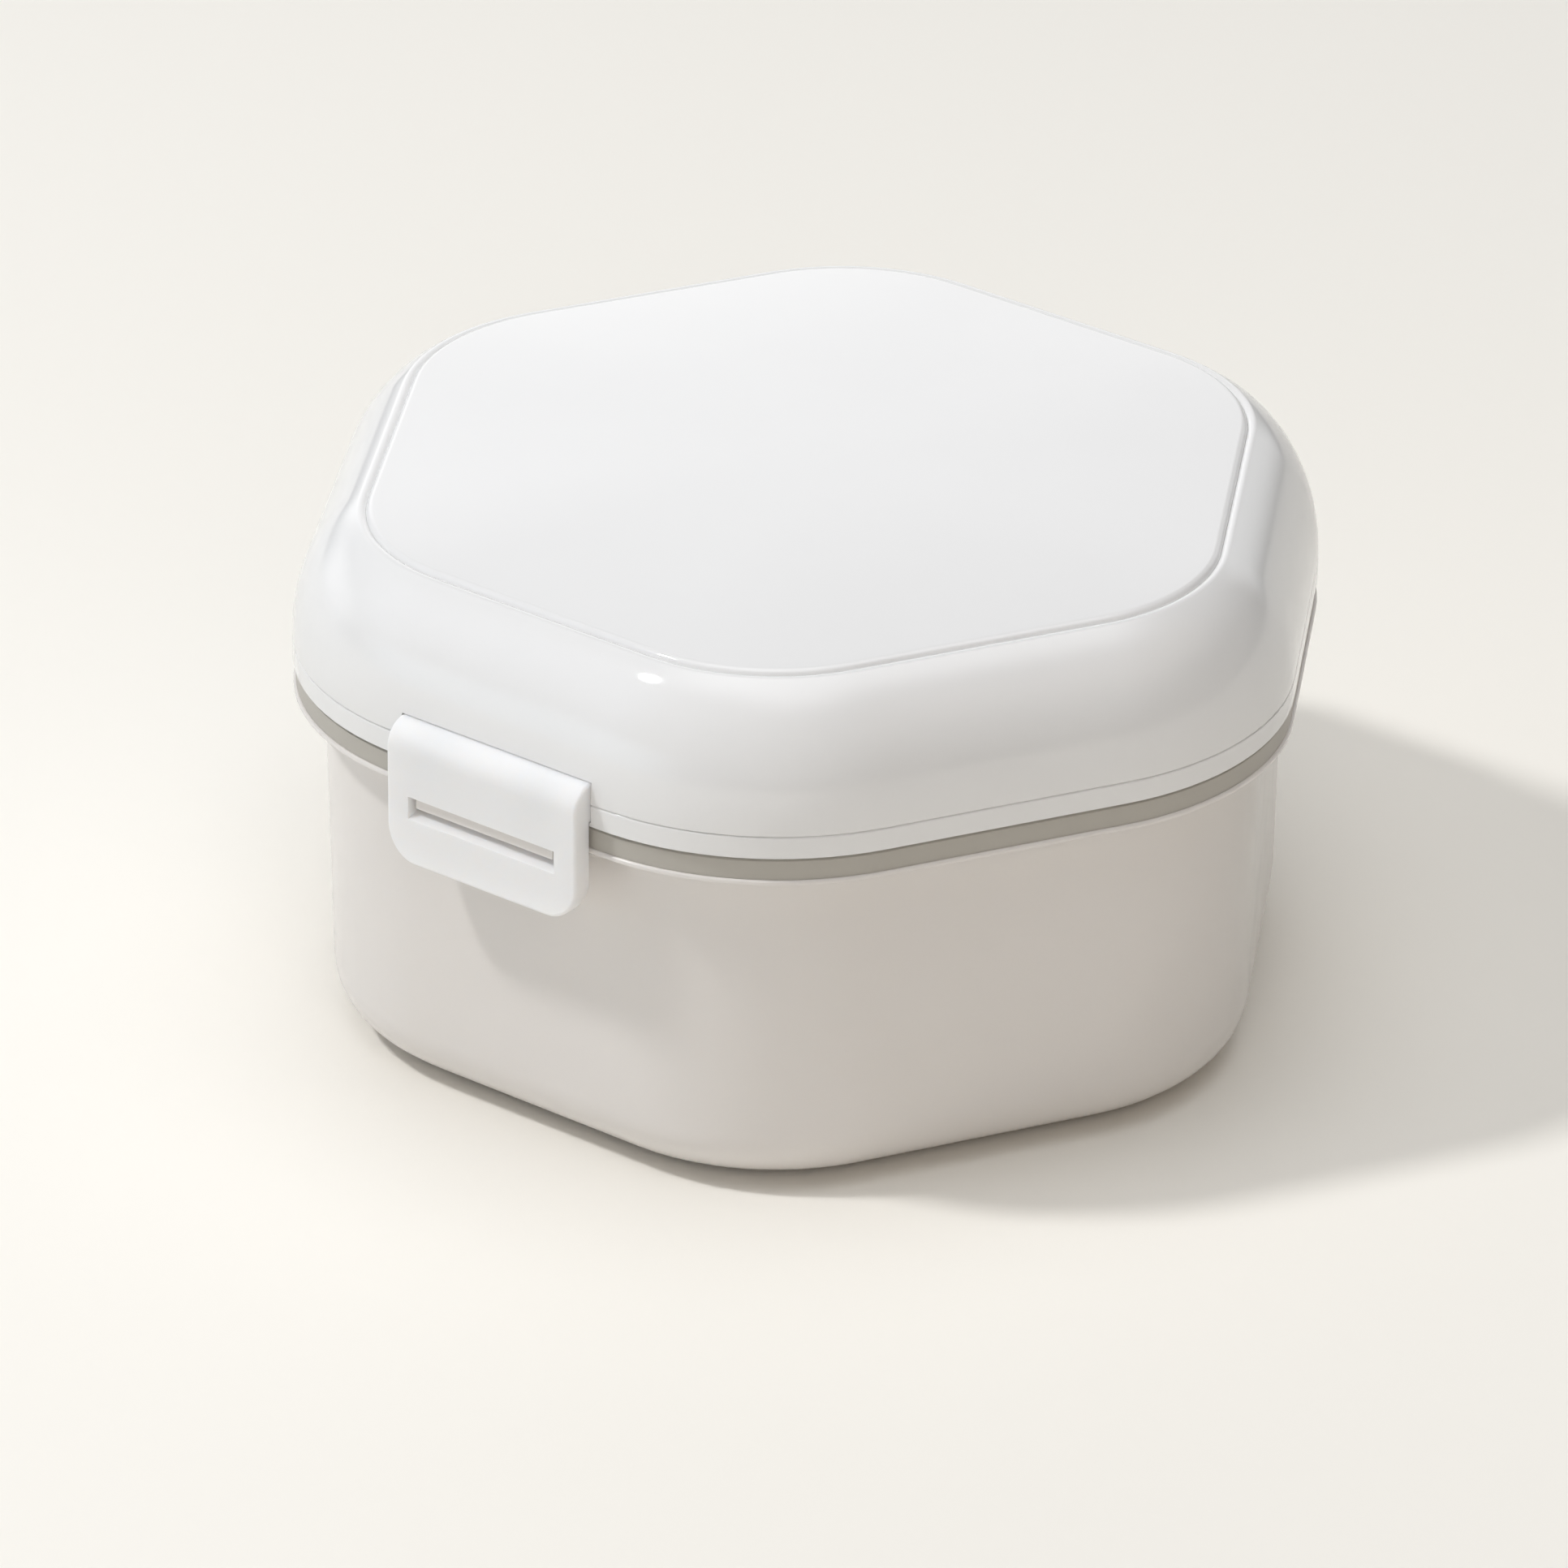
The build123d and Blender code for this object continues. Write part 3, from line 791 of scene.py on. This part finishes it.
@dataclass
class BaseCup:
    """The cup with its flange, catch rib, foot ring and rear hinge knuckles."""

    inset: float = 2.81
    draft: float = 0.017
    wall: float = 1.8
    underside: float = 0.45
    floor: float = 2.2
    flange_low: float = 33.05
    flange_top: float = 33.5
    fillet: float = 8.3
    inner_fillet: float = 6.5
    root_fillet: float = 1.6
    # Roundings of the flange's lower and upper edge and of the cup's mouth
    flange_edges: tuple[float, float, float] = (0.08, 0.26, 0.35)
    foot_outer: float = 30.5
    foot_width: float = 3.0
    foot_corner_r: float = 14.0
    foot_gap: float = 0.05
    foot_edge: float = 0.35
    groove_depth: float = 0.9
    groove_edge: float = 0.12
    # Distance of the last floor row from the groove, so that the edge rounding has room
    groove_margin: float = 1.2
    # Outline (y, z) of the brackets under the knuckles, from the wall side round to the back
    bracket: tuple[tuple[float, float], ...] = (
        (45.25, 34.57), (45.25, 33.3), (41.6, 33.3), (41.6, 26.0), (43.0, 26.0), (49.3, 31.37),
    )
    catch_width: float = 17.6
    catch_edge: float = 0.08
    # Outlines (y, z) of the rib and of the nose, whose corners clear the latch's swing
    catch_rib_outline: tuple[tuple[float, float], ...] = (
        (-43.2, 32.0), (-45.1, 32.0), (-45.1, 33.05), (-44.95, 33.4), (-41.6, 33.4), (-41.6, 30.4),
    )
    nose_width: float = 15.4
    nose_outline: tuple[tuple[float, float], ...] = (
        (-46.7, 32.17), (-46.65, 33.2), (-45.0, 33.16), (-45.0, 32.05),
    )
    hinge: HingeSizes = field(default_factory=HingeSizes)

    def dress(self, piece: bpy.types.Object) -> None:
        """Dress a moulded piece of the cup."""
        dress(piece, Body.BASE, CUP_ABS, ("base_shell",))

    def apothem(self, z: float) -> float:
        """Apothem of the outer wall at a height."""
        return RIM_APOTHEM - self.inset - self.draft * (self.flange_low - z)

    def cup(self) -> None:
        """Build the moulded cup as one profile carried round the hexagon."""
        low = self.underside
        groove_top = low + self.groove_depth
        inner_floor = low + self.floor
        foot_in = self.foot_outer - self.foot_width
        foot_in_r = self.foot_corner_r - self.foot_width
        margin = self.groove_margin
        low_edge, top_edge, mouth_edge = self.flange_edges
        corners = [
            centre_row(low),
            (foot_in - margin, low, foot_in_r - margin, 0.0),
            (foot_in, low, foot_in_r, self.groove_edge),
            (foot_in, groove_top, foot_in_r, 0.0),
            (self.foot_outer, groove_top, self.foot_corner_r, 0.0),
            (self.foot_outer, low, self.foot_corner_r, self.groove_edge),
            *parallel_rows([
                (self.apothem(low), low, self.fillet),
                (self.apothem(self.flange_low), self.flange_low, self.root_fillet),
                (RIM_APOTHEM, self.flange_low, low_edge),
                (RIM_APOTHEM, self.flange_top, top_edge),
                (self.apothem(self.flange_top) - self.wall, self.flange_top, mouth_edge),
                (self.apothem(inner_floor) - self.wall, inner_floor, self.inner_fillet),
            ]),
            centre_row(inner_floor),
        ]
        path = dense_path(rounded_path(corners, closed=False, steps=10), 3.0)
        self.dress(raw_object("cup_shell", *hexagon_skin(path, closed=False)))

    def knuckles(self) -> None:
        """Build the two rear knuckles with the brackets that carry them down to the wall."""
        h = self.hinge
        outline = np.concatenate([arc(h.y, h.z, h.radius, *h.outer_arc, 22), self.bracket])
        inner, outer = h.middle / 2 + h.gap, h.span / 2
        for side, start, end in (("left", -outer, -inner), ("right", inner, outer)):
            piece = raw_object(f"hinge_knuckle_{side}", *extruded(outline, start, end))
            cut(piece, rod("knuckle_bore", h.y, h.z, h.pin_r, start - 1, end + 1))
            bevel(piece, h.outer_edge)
            self.dress(piece)

    def catch(self) -> None:
        """Build the catch rib and the nose on it that shows in the latch slot."""
        for name, outline, width in (
            ("catch_rib", self.catch_rib_outline, self.catch_width),
            ("catch_nose", self.nose_outline, self.nose_width),
        ):
            piece = raw_object(name, *extruded(np.array(outline), -width / 2, width / 2))
            bevel(piece, self.catch_edge, 35.0)
            self.dress(piece)

    def foot(self) -> None:
        """Build the soft foot ring in its groove."""
        outer = self.foot_outer - self.foot_gap
        inner = self.foot_outer - self.foot_width + self.foot_gap
        top = self.underside + self.groove_depth
        outer_r = self.foot_corner_r - self.foot_gap
        inner_r = outer_r - (outer - inner)
        corners = [
            (inner, top, inner_r, 0.0), (inner, 0.0, inner_r, self.foot_edge),
            (outer, 0.0, outer_r, self.foot_edge), (outer, top, outer_r, 0.0),
        ]
        path = rounded_path(corners, closed=True)
        piece = raw_object("foot_ring_soft", *hexagon_skin(path, closed=True))
        dress(piece, Body.BASE, SILICONE, ("foot_ring",))

    def pin(self) -> None:
        """Build the hinge pin."""
        h = self.hinge
        half = h.span / 2 - h.pin_inset
        piece = raw_object("hinge_pin_steel", *rod_mesh(h.y, h.z, h.pin_r, -half, half, h.pin_edge))
        dress(piece, Body.BASE, STEEL, ("hinge_pin",))

    def build(self) -> None:
        """Build every piece of the base."""
        self.cup()
        self.knuckles()
        self.catch()
        self.foot()
        self.pin()


@dataclass
class Lid:
    """The lid: seal, inner lid with the rim band, outer dome and the top panel in its groove."""

    dome: Dome = field(default_factory=Dome)
    hinge: HingeSizes = field(default_factory=HingeSizes)
    latch: LatchSizes = field(default_factory=LatchSizes)
    seal_low: float = 33.5
    seal_top: float = 35.64
    seal_setback: float = 0.25
    seal_bevel: tuple[float, float] = (0.5, 0.32)
    # Inner apothem, outer apothem and end height of the lip below and of the tongue above
    seal_lip: tuple[float, float, float] = (39.2, 40.0, 31.6)
    seal_tongue: tuple[float, float, float] = (41.0, 41.95, 36.79)
    band_top: float = 37.79
    band_inner: float = 40.2
    # Apothem inside which the rim band rests on the seal
    band_rest: float = 42.0
    band_ledge: float = 0.85
    parting: float = 37.8
    parting_width: float = 0.6
    shell_wall: float = 1.8
    liner_gap: float = 0.3
    liner_wall: float = 1.4
    roof_top: float = 47.2
    deck_top: float = 48.95
    deck_thickness: float = 1.45
    crown_top: float = 51.5
    recess_gap: float = 0.1
    lip_steep: float = 48.0
    panel_gap: float = 0.005
    panel_roll: float = 0.66
    panel_roll_end: float = 78.0
    # The middle knuckle's arm: y of its root and of its lower and upper end, and its distance from
    # the band's edges
    arm_y: tuple[float, float, float] = (44.5, 45.1, 45.3)
    arm_margin: float = 0.15

    def dress(self, piece: bpy.types.Object, node: str) -> None:
        """Dress a glossy piece of the lid."""
        dress(piece, Body.LID, GLOSS_ABS, (node,))

    def seal(self) -> None:
        """Build the silicone seal as one closed profile: band, tongue and lip."""
        band = RIM_APOTHEM - self.seal_setback
        bevel_width, bevel_drop = self.seal_bevel
        top, low = self.seal_top, self.seal_low
        lip_in, lip_out, lip_low = self.seal_lip
        tongue_in, tongue_out, tongue_top = self.seal_tongue
        corners = parallel_rows([
            (lip_in, top, 0.2), (lip_in, lip_low, 0.25), (lip_out, lip_low, 0.25),
            (lip_out, low, 0.0), (band, low, 0.02), (band, top - bevel_drop, 0.1),
            (band - bevel_width, top, 0.0), (tongue_out, top, 0.0), (tongue_out, tongue_top, 0.2),
            (tongue_in, tongue_top, 0.2), (tongue_in, top, 0.0),
        ])
        path = rounded_path(corners, closed=True, steps=4)
        piece = raw_object("seal_band", *hexagon_skin(path, closed=True))
        dress(piece, Body.LID, SILICONE, ("seal_ring",))

    @staticmethod
    def hollow(
        outer: list[tuple[float, ...]], inner: list[tuple[float, ...]], steps: int,
    ) -> tuple[np.ndarray, list]:
        """Carry a profile round whose outer and inner halves both end in the middle of the roof.

        The last row joins the first, so the mesh is a closed shell with a cap on each side of its
        roof instead of the band of faces between the two middle rings.

        Args:
            outer: corners of the outer half, from the rim up to the roof.
            inner: corners of the inner half, from the roof down to the rim.
            steps: segments in each rounding.

        Returns:
            Vertices in millimetres and faces.
        """
        halves = [
            dense_path(rounded_path(corners, closed=False, steps=steps), 4.0)
            for corners in (outer, inner)
        ]
        split = len(halves[0])
        path = np.concatenate(halves)
        points, faces = hexagon_skin(path, closed=True)
        around = len(points) // len(path)
        bridge = ring(split - 1, around)
        kept = [f for f in faces if f[0] not in range(bridge[0], bridge[-1] + 1)]
        return points, kept + [bridge, ring(split, around)[::-1]]

    def liner(self) -> None:
        """Build the inner lid: rim band, hollow dome and the latch pocket."""
        d = self.dome
        roof_low = self.roof_top - self.liner_wall
        extra = self.shell_wall + self.liner_gap
        outside = d.rows(extra, d.bottom, self.roof_top, 14)
        inside = d.rows(extra + self.liner_wall, d.bottom, roof_low, 12)[::-1]
        outer = parallel_rows([
            (self.band_inner, self.seal_top, 0.25), (self.band_rest, self.seal_top, 0.0),
            (RIM_APOTHEM, self.seal_top, 0.16), (RIM_APOTHEM, self.band_top, 0.22),
            (RIM_APOTHEM - self.band_ledge, self.band_top, 0.0),
        ])
        outer += [*plain_rows(outside[:-1]), (*outside[-1], 3.0), centre_row(self.roof_top)]
        inner = [centre_row(roof_low), (*inside[0], 1.8), *plain_rows(inside[1:])]
        inner += parallel_rows([
            (self.band_inner, d.bottom, 0.3), (self.band_inner, self.seal_top + 0.01, 0.0),
        ])
        piece = raw_object("inner_lid", *self.hollow(outer, inner, 6))
        cut(piece, self.latch.pocket())
        self.dress(piece, "lid_liner")

    def shell(self) -> None:
        """Build the outer dome with the recess for the panel and the notch for the latch."""
        d = self.dome
        recess = RIM_APOTHEM - d.inset - self.recess_gap
        drop = self.panel_roll * (1 - math.cos(math.radians(self.panel_roll_end)))
        lip = d.lip(recess, d.top - drop, self.lip_steep)
        outside = d.rows(0.0, d.bottom, lip[0, 1], 40)
        ceiling = self.deck_top - self.deck_thickness
        inside = d.rows(self.shell_wall, d.bottom, ceiling, 14)[::-1]
        first, width = outside[0], self.parting_width
        outer = [
            (first[0] - width, self.parting, first[2] - width, 0.0),
            (first[0], self.parting, first[2], 0.16),
            *plain_rows(outside[1:-1]), *plain_rows(lip),
            (recess, self.deck_top, lip[-1, 2], 0.1), centre_row(self.deck_top),
        ]
        inner = [centre_row(ceiling), (*inside[0], 1.5), *plain_rows(inside[1:])]
        piece = raw_object("dome_shell", *self.hollow(outer, inner, 5))
        cut(piece, self.latch.pocket())
        self.dress(piece, "lid_shell")

    def panel(self) -> None:
        """Build the crowned top panel.

        The top is a sphere cap: height = crown - (R - sqrt(R^2 - a^2)) for the outline's apothem
        a. Its edge rolls down on a circle of radius r: at angle f the roll is r sin f further out
        and r (1 - cos f) lower, which leaves a groove beside the lip of the dome.
        """
        d = self.dome
        edge = RIM_APOTHEM - d.inset - self.recess_gap - self.panel_gap
        edge_r = d.radius(d.inset) - self.recess_gap - self.panel_gap
        rise = self.crown_top - d.top
        sphere_r = (edge ** 2 + rise ** 2) / (2 * rise)
        turn = np.radians(np.linspace(self.panel_roll_end, 0.0, 12))
        inner = edge - self.panel_roll * math.sin(turn[0])
        rolled = inner + self.panel_roll * np.sin(turn)
        apothem = np.concatenate([rolled, np.linspace(inner, 1.0, 34)[1:]])
        crown = self.crown_top - (sphere_r - np.sqrt(sphere_r ** 2 - apothem ** 2))
        crown[:len(turn)] -= self.panel_roll * (1 - np.cos(turn))
        inner_r = edge_r - edge + inner
        radii = np.where(apothem > inner, edge_r - edge + apothem, inner_r * apothem / inner)
        start = [centre_row(self.deck_top)[:3], (edge, self.deck_top, edge_r)]
        path = np.concatenate([start, np.column_stack([apothem, crown, radii])])
        path = dense_path(path, 5.0)
        self.dress(raw_object("top_panel", *hexagon_skin(path, closed=False)), "lid_top_panel")

    def lugs(self) -> None:
        """Build the two lugs that hold the latch pin in the pocket."""
        s = self.latch
        low = s.pocket_floor - s.lug_root
        round_top = arc(s.y, s.z, s.lug_r, 0.0, 270.0, 24)[:-2]
        outline = np.concatenate([round_top, [(s.y - 0.1, low), (s.y + s.lug_r, low)]])
        half = s.lug_width / 2
        for side, x in (("left", -s.lug_offset), ("right", s.lug_offset)):
            piece = raw_object(f"latch_lug_{side}", *extruded(outline, x - half, x + half))
            bevel(piece, s.lug_edge)
            self.dress(piece, "lid_liner")

    def knuckle(self) -> None:
        """Build the middle knuckle of the rear hinge with its arm to the rim band."""
        h = self.hinge
        half = h.middle / 2
        low, high = self.seal_top + self.arm_margin, self.band_top - self.arm_margin
        root, low_end, high_end = self.arm_y
        outline = np.concatenate([
            arc(h.y, h.z, h.radius, *h.middle_arc, 28),
            [(high_end, high), (root, high), (root, low), (low_end, low)],
        ])
        piece = raw_object("lid_knuckle", *extruded(outline, -half, half))
        cut(piece, rod("lid_bore", h.y, h.z, h.bore_r, -half - 1, half + 1))
        bevel(piece, h.middle_edge)
        self.dress(piece, "lid_liner")

    def pin(self) -> None:
        """Build the latch pin."""
        s = self.latch
        piece = raw_object("latch_pin_steel", *rod_mesh(s.y, s.z, s.pin_r, *s.pin_ends, s.pin_edge))
        dress(piece, Body.LID, STEEL, ("latch_pin",))

    def build(self) -> None:
        """Build every piece of the lid."""
        self.seal()
        self.liner()
        self.shell()
        self.panel()
        self.lugs()
        self.knuckle()
        self.pin()


@dataclass
class Latch:
    """The snap latch, with its edges rounded as the moulding tool leaves them."""

    edge_mm: float = 0.08
    crease: float = 50.0

    def build(self) -> None:
        """Build the latch from its solid."""
        piece = merged_copy("latch", "snap_latch", whole_faces=True)
        bevel(piece, self.edge_mm, self.crease)
        dress(piece, Body.LATCH, LATCH_ABS, ("latch",), self.crease)


@dataclass
class Basket:
    """The strainer basket inside the case."""

    crease: float = 40.0

    def build(self) -> None:
        """Build the basket from its solid."""
        piece = merged_copy("strainer_basket", "drain_basket", whole_faces=False)
        nodes = ("strainer_basket",)
        dress(piece, Body.BASKET, BASKET_PP, nodes, self.crease)


class Outline(Enum):
    """The outlines that a soft box can have."""

    BOX = "RECTANGLE"
    ROUND = "DISK"


LAMP_TARGET_M = (0.0, 0.0, 0.03)


@dataclass(frozen=True)
class SoftBox:
    """One soft box that points at the case.

    The border is the share of the width over which the light fades, and mirrored says whether the
    gloss shows the box.
    """

    name: str
    place_mm: tuple[float, float, float]
    size_mm: tuple[float, float]
    watts: float
    colour: str = "FFFFFF"
    outline: Outline = Outline.BOX
    border: float = 0.4
    mirrored: bool = True

    def soften(self, lamp: bpy.types.Light) -> None:
        """Fade the box towards its sides, as the cloth of a soft box does.

        With u and v from 0 to 1 over the box, the strength is the product of two smooth steps that
        rise from 0 at a side to 1 at the border's width inside it. Its mean is (1 - border)
        squared.

        Args:
            lamp: area light without nodes.
        """
        lamp.use_nodes = True
        tree = lamp.node_tree
        tree.nodes.clear()
        place = add_node(tree, "ShaderNodeNewGeometry").outputs["Parametric"]
        axes = add_node(tree, "ShaderNodeSeparateXYZ", {"Vector": place}).outputs
        fades = []
        for axis in (axes["X"], axes["Y"]):
            side = add_node(tree, "ShaderNodeMath", {"Value": axis}, operation="PINGPONG")
            side.inputs[1].default_value = 0.5
            fades.append(add_node(
                tree, "ShaderNodeMapRange", {"Value": side.outputs["Value"]},
                interpolation_type="SMOOTHSTEP", From_Max=self.border,
            ).outputs["Result"])
        both = add_node(
            tree, "ShaderNodeVectorMath", {0: fades[0], 1: fades[1]}, operation="MULTIPLY",
        )
        glow = add_node(tree, "ShaderNodeEmission", {"Strength": both.outputs["Vector"]})
        add_node(tree, "ShaderNodeOutputLight", {"Surface": glow.outputs["Emission"]})

    def hang(self) -> None:
        """Put the light into the scene."""
        lamp = bpy.data.lights.new(self.name, "AREA")
        lamp.shape = self.outline.value
        lamp.size = self.size_mm[0] * MM
        lamp.energy = self.watts
        if self.outline is Outline.BOX:
            lamp.size_y = self.size_mm[1] * MM
            lamp.energy = self.watts / (1 - self.border) ** 2
            self.soften(lamp)
        lamp.color = linear(self.colour)[:3]
        holder = link(self.name, lamp)
        holder.visible_glossy = self.mirrored
        place = Vector(self.place_mm) * MM
        aim = Vector(LAMP_TARGET_M) - place
        turn = aim.to_track_quat("-Z", "Y").to_matrix().to_4x4()
        holder.matrix_world = Matrix.Translation(place) @ turn


LAMPS = (
    SoftBox("key_lamp", (-425.0, -397.0, 813.0), (104.0, 104.0), 4.04, "FFFFFF", Outline.ROUND),
    SoftBox("overhead_softbox", (100.0, 0.0, 1300.0), (1900.0, 1900.0), 9.74, "FBFDFF"),
    SoftBox("rear_left_panel", (-900.0, 850.0, 480.0), (1900.0, 1000.0), 2.39, "FEFEFF"),
    SoftBox("rear_low_panel", (-900.0, 880.0, 300.0), (1800.0, 600.0), 0.87, "FFFEFC"),
    SoftBox("rear_right_strip", (-15.0, 1170.0, 330.0), (640.0, 800.0), 0.57, "F9FCFF"),
    SoftBox("right_wide_panel", (962.0, 350.0, 830.0), (1800.0, 900.0), 0.64, "FFECD6"),
    SoftBox(
        "front_right_fill", (796.0, -796.0, 650.0), (1300.0, 1300.0), 3.96, "FFF6EE",
        mirrored=False,
    ),
    SoftBox("front_left_card", (-400.0, -800.0, 100.0), (1200.0, 420.0), 0.82, "E3F3FF"),
    SoftBox("front_left_softbox", (-700.0, -620.0, 560.0), (1100.0, 1100.0), 0.82, "E5EEFF"),
    SoftBox("left_side_card", (-1000.0, -100.0, 150.0), (900.0, 500.0), 0.59, "FFFEFF"),
)


@dataclass
class Studio:
    """Floor, lights and camera."""

    azimuth: float = 37.5
    elevation: float = 27.99
    roll: float = 0.3617
    distance_mm: float = 941.7
    target_mm: tuple[float, float, float] = (-1.749, -1.342, 17.64)
    focal_px: float = 12718.0
    frame_px: float = 1932.0
    sensor_mm: float = 36.0
    clip_m: tuple[float, float] = (0.05, 50.0)
    floor_colour: str = "F6F3EC"
    floor_roughness: float = 0.75
    room_colour: str = "F7F3EC"
    # Strength of the room for the camera and for everything else
    room_seen: float = 0.9
    room_glow: float = 0.002
    # Floor: flat from front to bend, then a quarter circle up to a wall
    floor_front: float = -3000.0
    floor_bend: float = 2600.0
    bend_radius: float = 900.0
    wall_top: float = 4000.0
    floor_half_width: float = 4000.0

    def floor(self) -> None:
        """Lay the pale floor, which curves up far behind the case.

        The profile is the flat, then (bend + r sin f, r (1 - cos f)) for f up to 90 degrees, then
        the wall. It is carried across the view, so that the wall stands square to the camera.
        """
        f = np.linspace(0, math.pi / 2, 20)[1:]
        flat = np.linspace(self.floor_front, self.floor_bend, 40)
        wall = self.floor_bend + self.bend_radius
        run = np.concatenate([flat, self.floor_bend + self.bend_radius * np.sin(f), [wall]])
        rise = np.concatenate([
            np.zeros(len(flat)), self.bend_radius * (1 - np.cos(f)), [self.wall_top],
        ])
        back = math.radians(self.azimuth)
        along = np.array([-math.sin(back), math.cos(back)])
        across = np.array([math.cos(back), math.sin(back)])
        side = np.linspace(-self.floor_half_width, self.floor_half_width, 9)
        count = len(side)
        plan = run[:, None, None] * along + side[None, :, None] * across
        heights = np.repeat(rise[:, None, None], count, axis=1)
        points = np.concatenate([plan, heights], axis=2).reshape(-1, 3)
        corner = np.arange(len(run) - 1)[:, None] * count + np.arange(count - 1)
        corners = [corner, corner + 1, corner + count + 1, corner + count]
        faces = np.stack(corners, axis=-1).reshape(-1, 4).tolist()
        floor = raw_object("studio_floor", points, faces)
        smooth(floor)
        material = bpy.data.materials.new("Matte_paper_floor")
        material.use_nodes = True
        shader = material.node_tree.nodes["Principled BSDF"]
        shader.inputs["Base Color"].default_value = linear(self.floor_colour)
        shader.inputs["Roughness"].default_value = self.floor_roughness
        floor.data.materials.append(material)

    def lights(self) -> None:
        """Hang the lights in a dark room, which the camera sees as pale past the floor."""
        world = bpy.data.worlds.new("studio_room")
        world.use_nodes = True
        tree = world.node_tree
        back = tree.nodes["Background"]
        back.inputs["Color"].default_value = linear(self.room_colour)
        seen = add_node(tree, "ShaderNodeLightPath").outputs["Is Camera Ray"]
        glow = add_node(
            tree, "ShaderNodeMapRange", {"Value": seen},
            To_Min=self.room_glow, To_Max=self.room_seen,
        )
        tree.links.new(glow.outputs["Result"], back.inputs["Strength"])
        bpy.context.scene.world = world
        for lamp in LAMPS:
            lamp.hang()

    def camera(self) -> None:
        """Place the camera where the photograph was taken from.

        The camera looks from azimuth and elevation at the target, turned by the small roll. The
        lens is the focal length in pixels over the frame's width, times the sensor's width.
        """
        a = math.radians(self.azimuth)
        e = math.radians(self.elevation)
        r = math.radians(self.roll)
        back = Vector((math.sin(a) * math.cos(e), -math.cos(a) * math.cos(e), math.sin(e)))
        right = Vector((math.cos(a), math.sin(a), 0.0))
        up = back.cross(right)
        right, up = right * math.cos(r) + up * math.sin(r), up * math.cos(r) - right * math.sin(r)
        place = (Vector(self.target_mm) + back * self.distance_mm) * MM
        lens = bpy.data.cameras.new("photo_camera")
        lens.sensor_width = self.sensor_mm
        lens.lens = self.focal_px / self.frame_px * self.sensor_mm
        lens.clip_start, lens.clip_end = self.clip_m
        holder = link("photo_camera", lens)
        turn = Matrix((right, up, back)).transposed().to_4x4()
        holder.matrix_world = Matrix.Translation(place) @ turn
        bpy.context.scene.camera = holder

    def build(self) -> None:
        """Set the whole studio."""
        self.floor()
        self.lights()
        self.camera()
        bpy.context.scene.view_settings.view_transform = "Standard"


def main() -> None:
    """Build the case and the studio."""
    logging.basicConfig(level=logging.INFO, format="%(message)s")
    BaseCup().build()
    Lid().build()
    Latch().build()
    Basket().build()
    Studio().build()


if __name__ == "__main__":
    main()
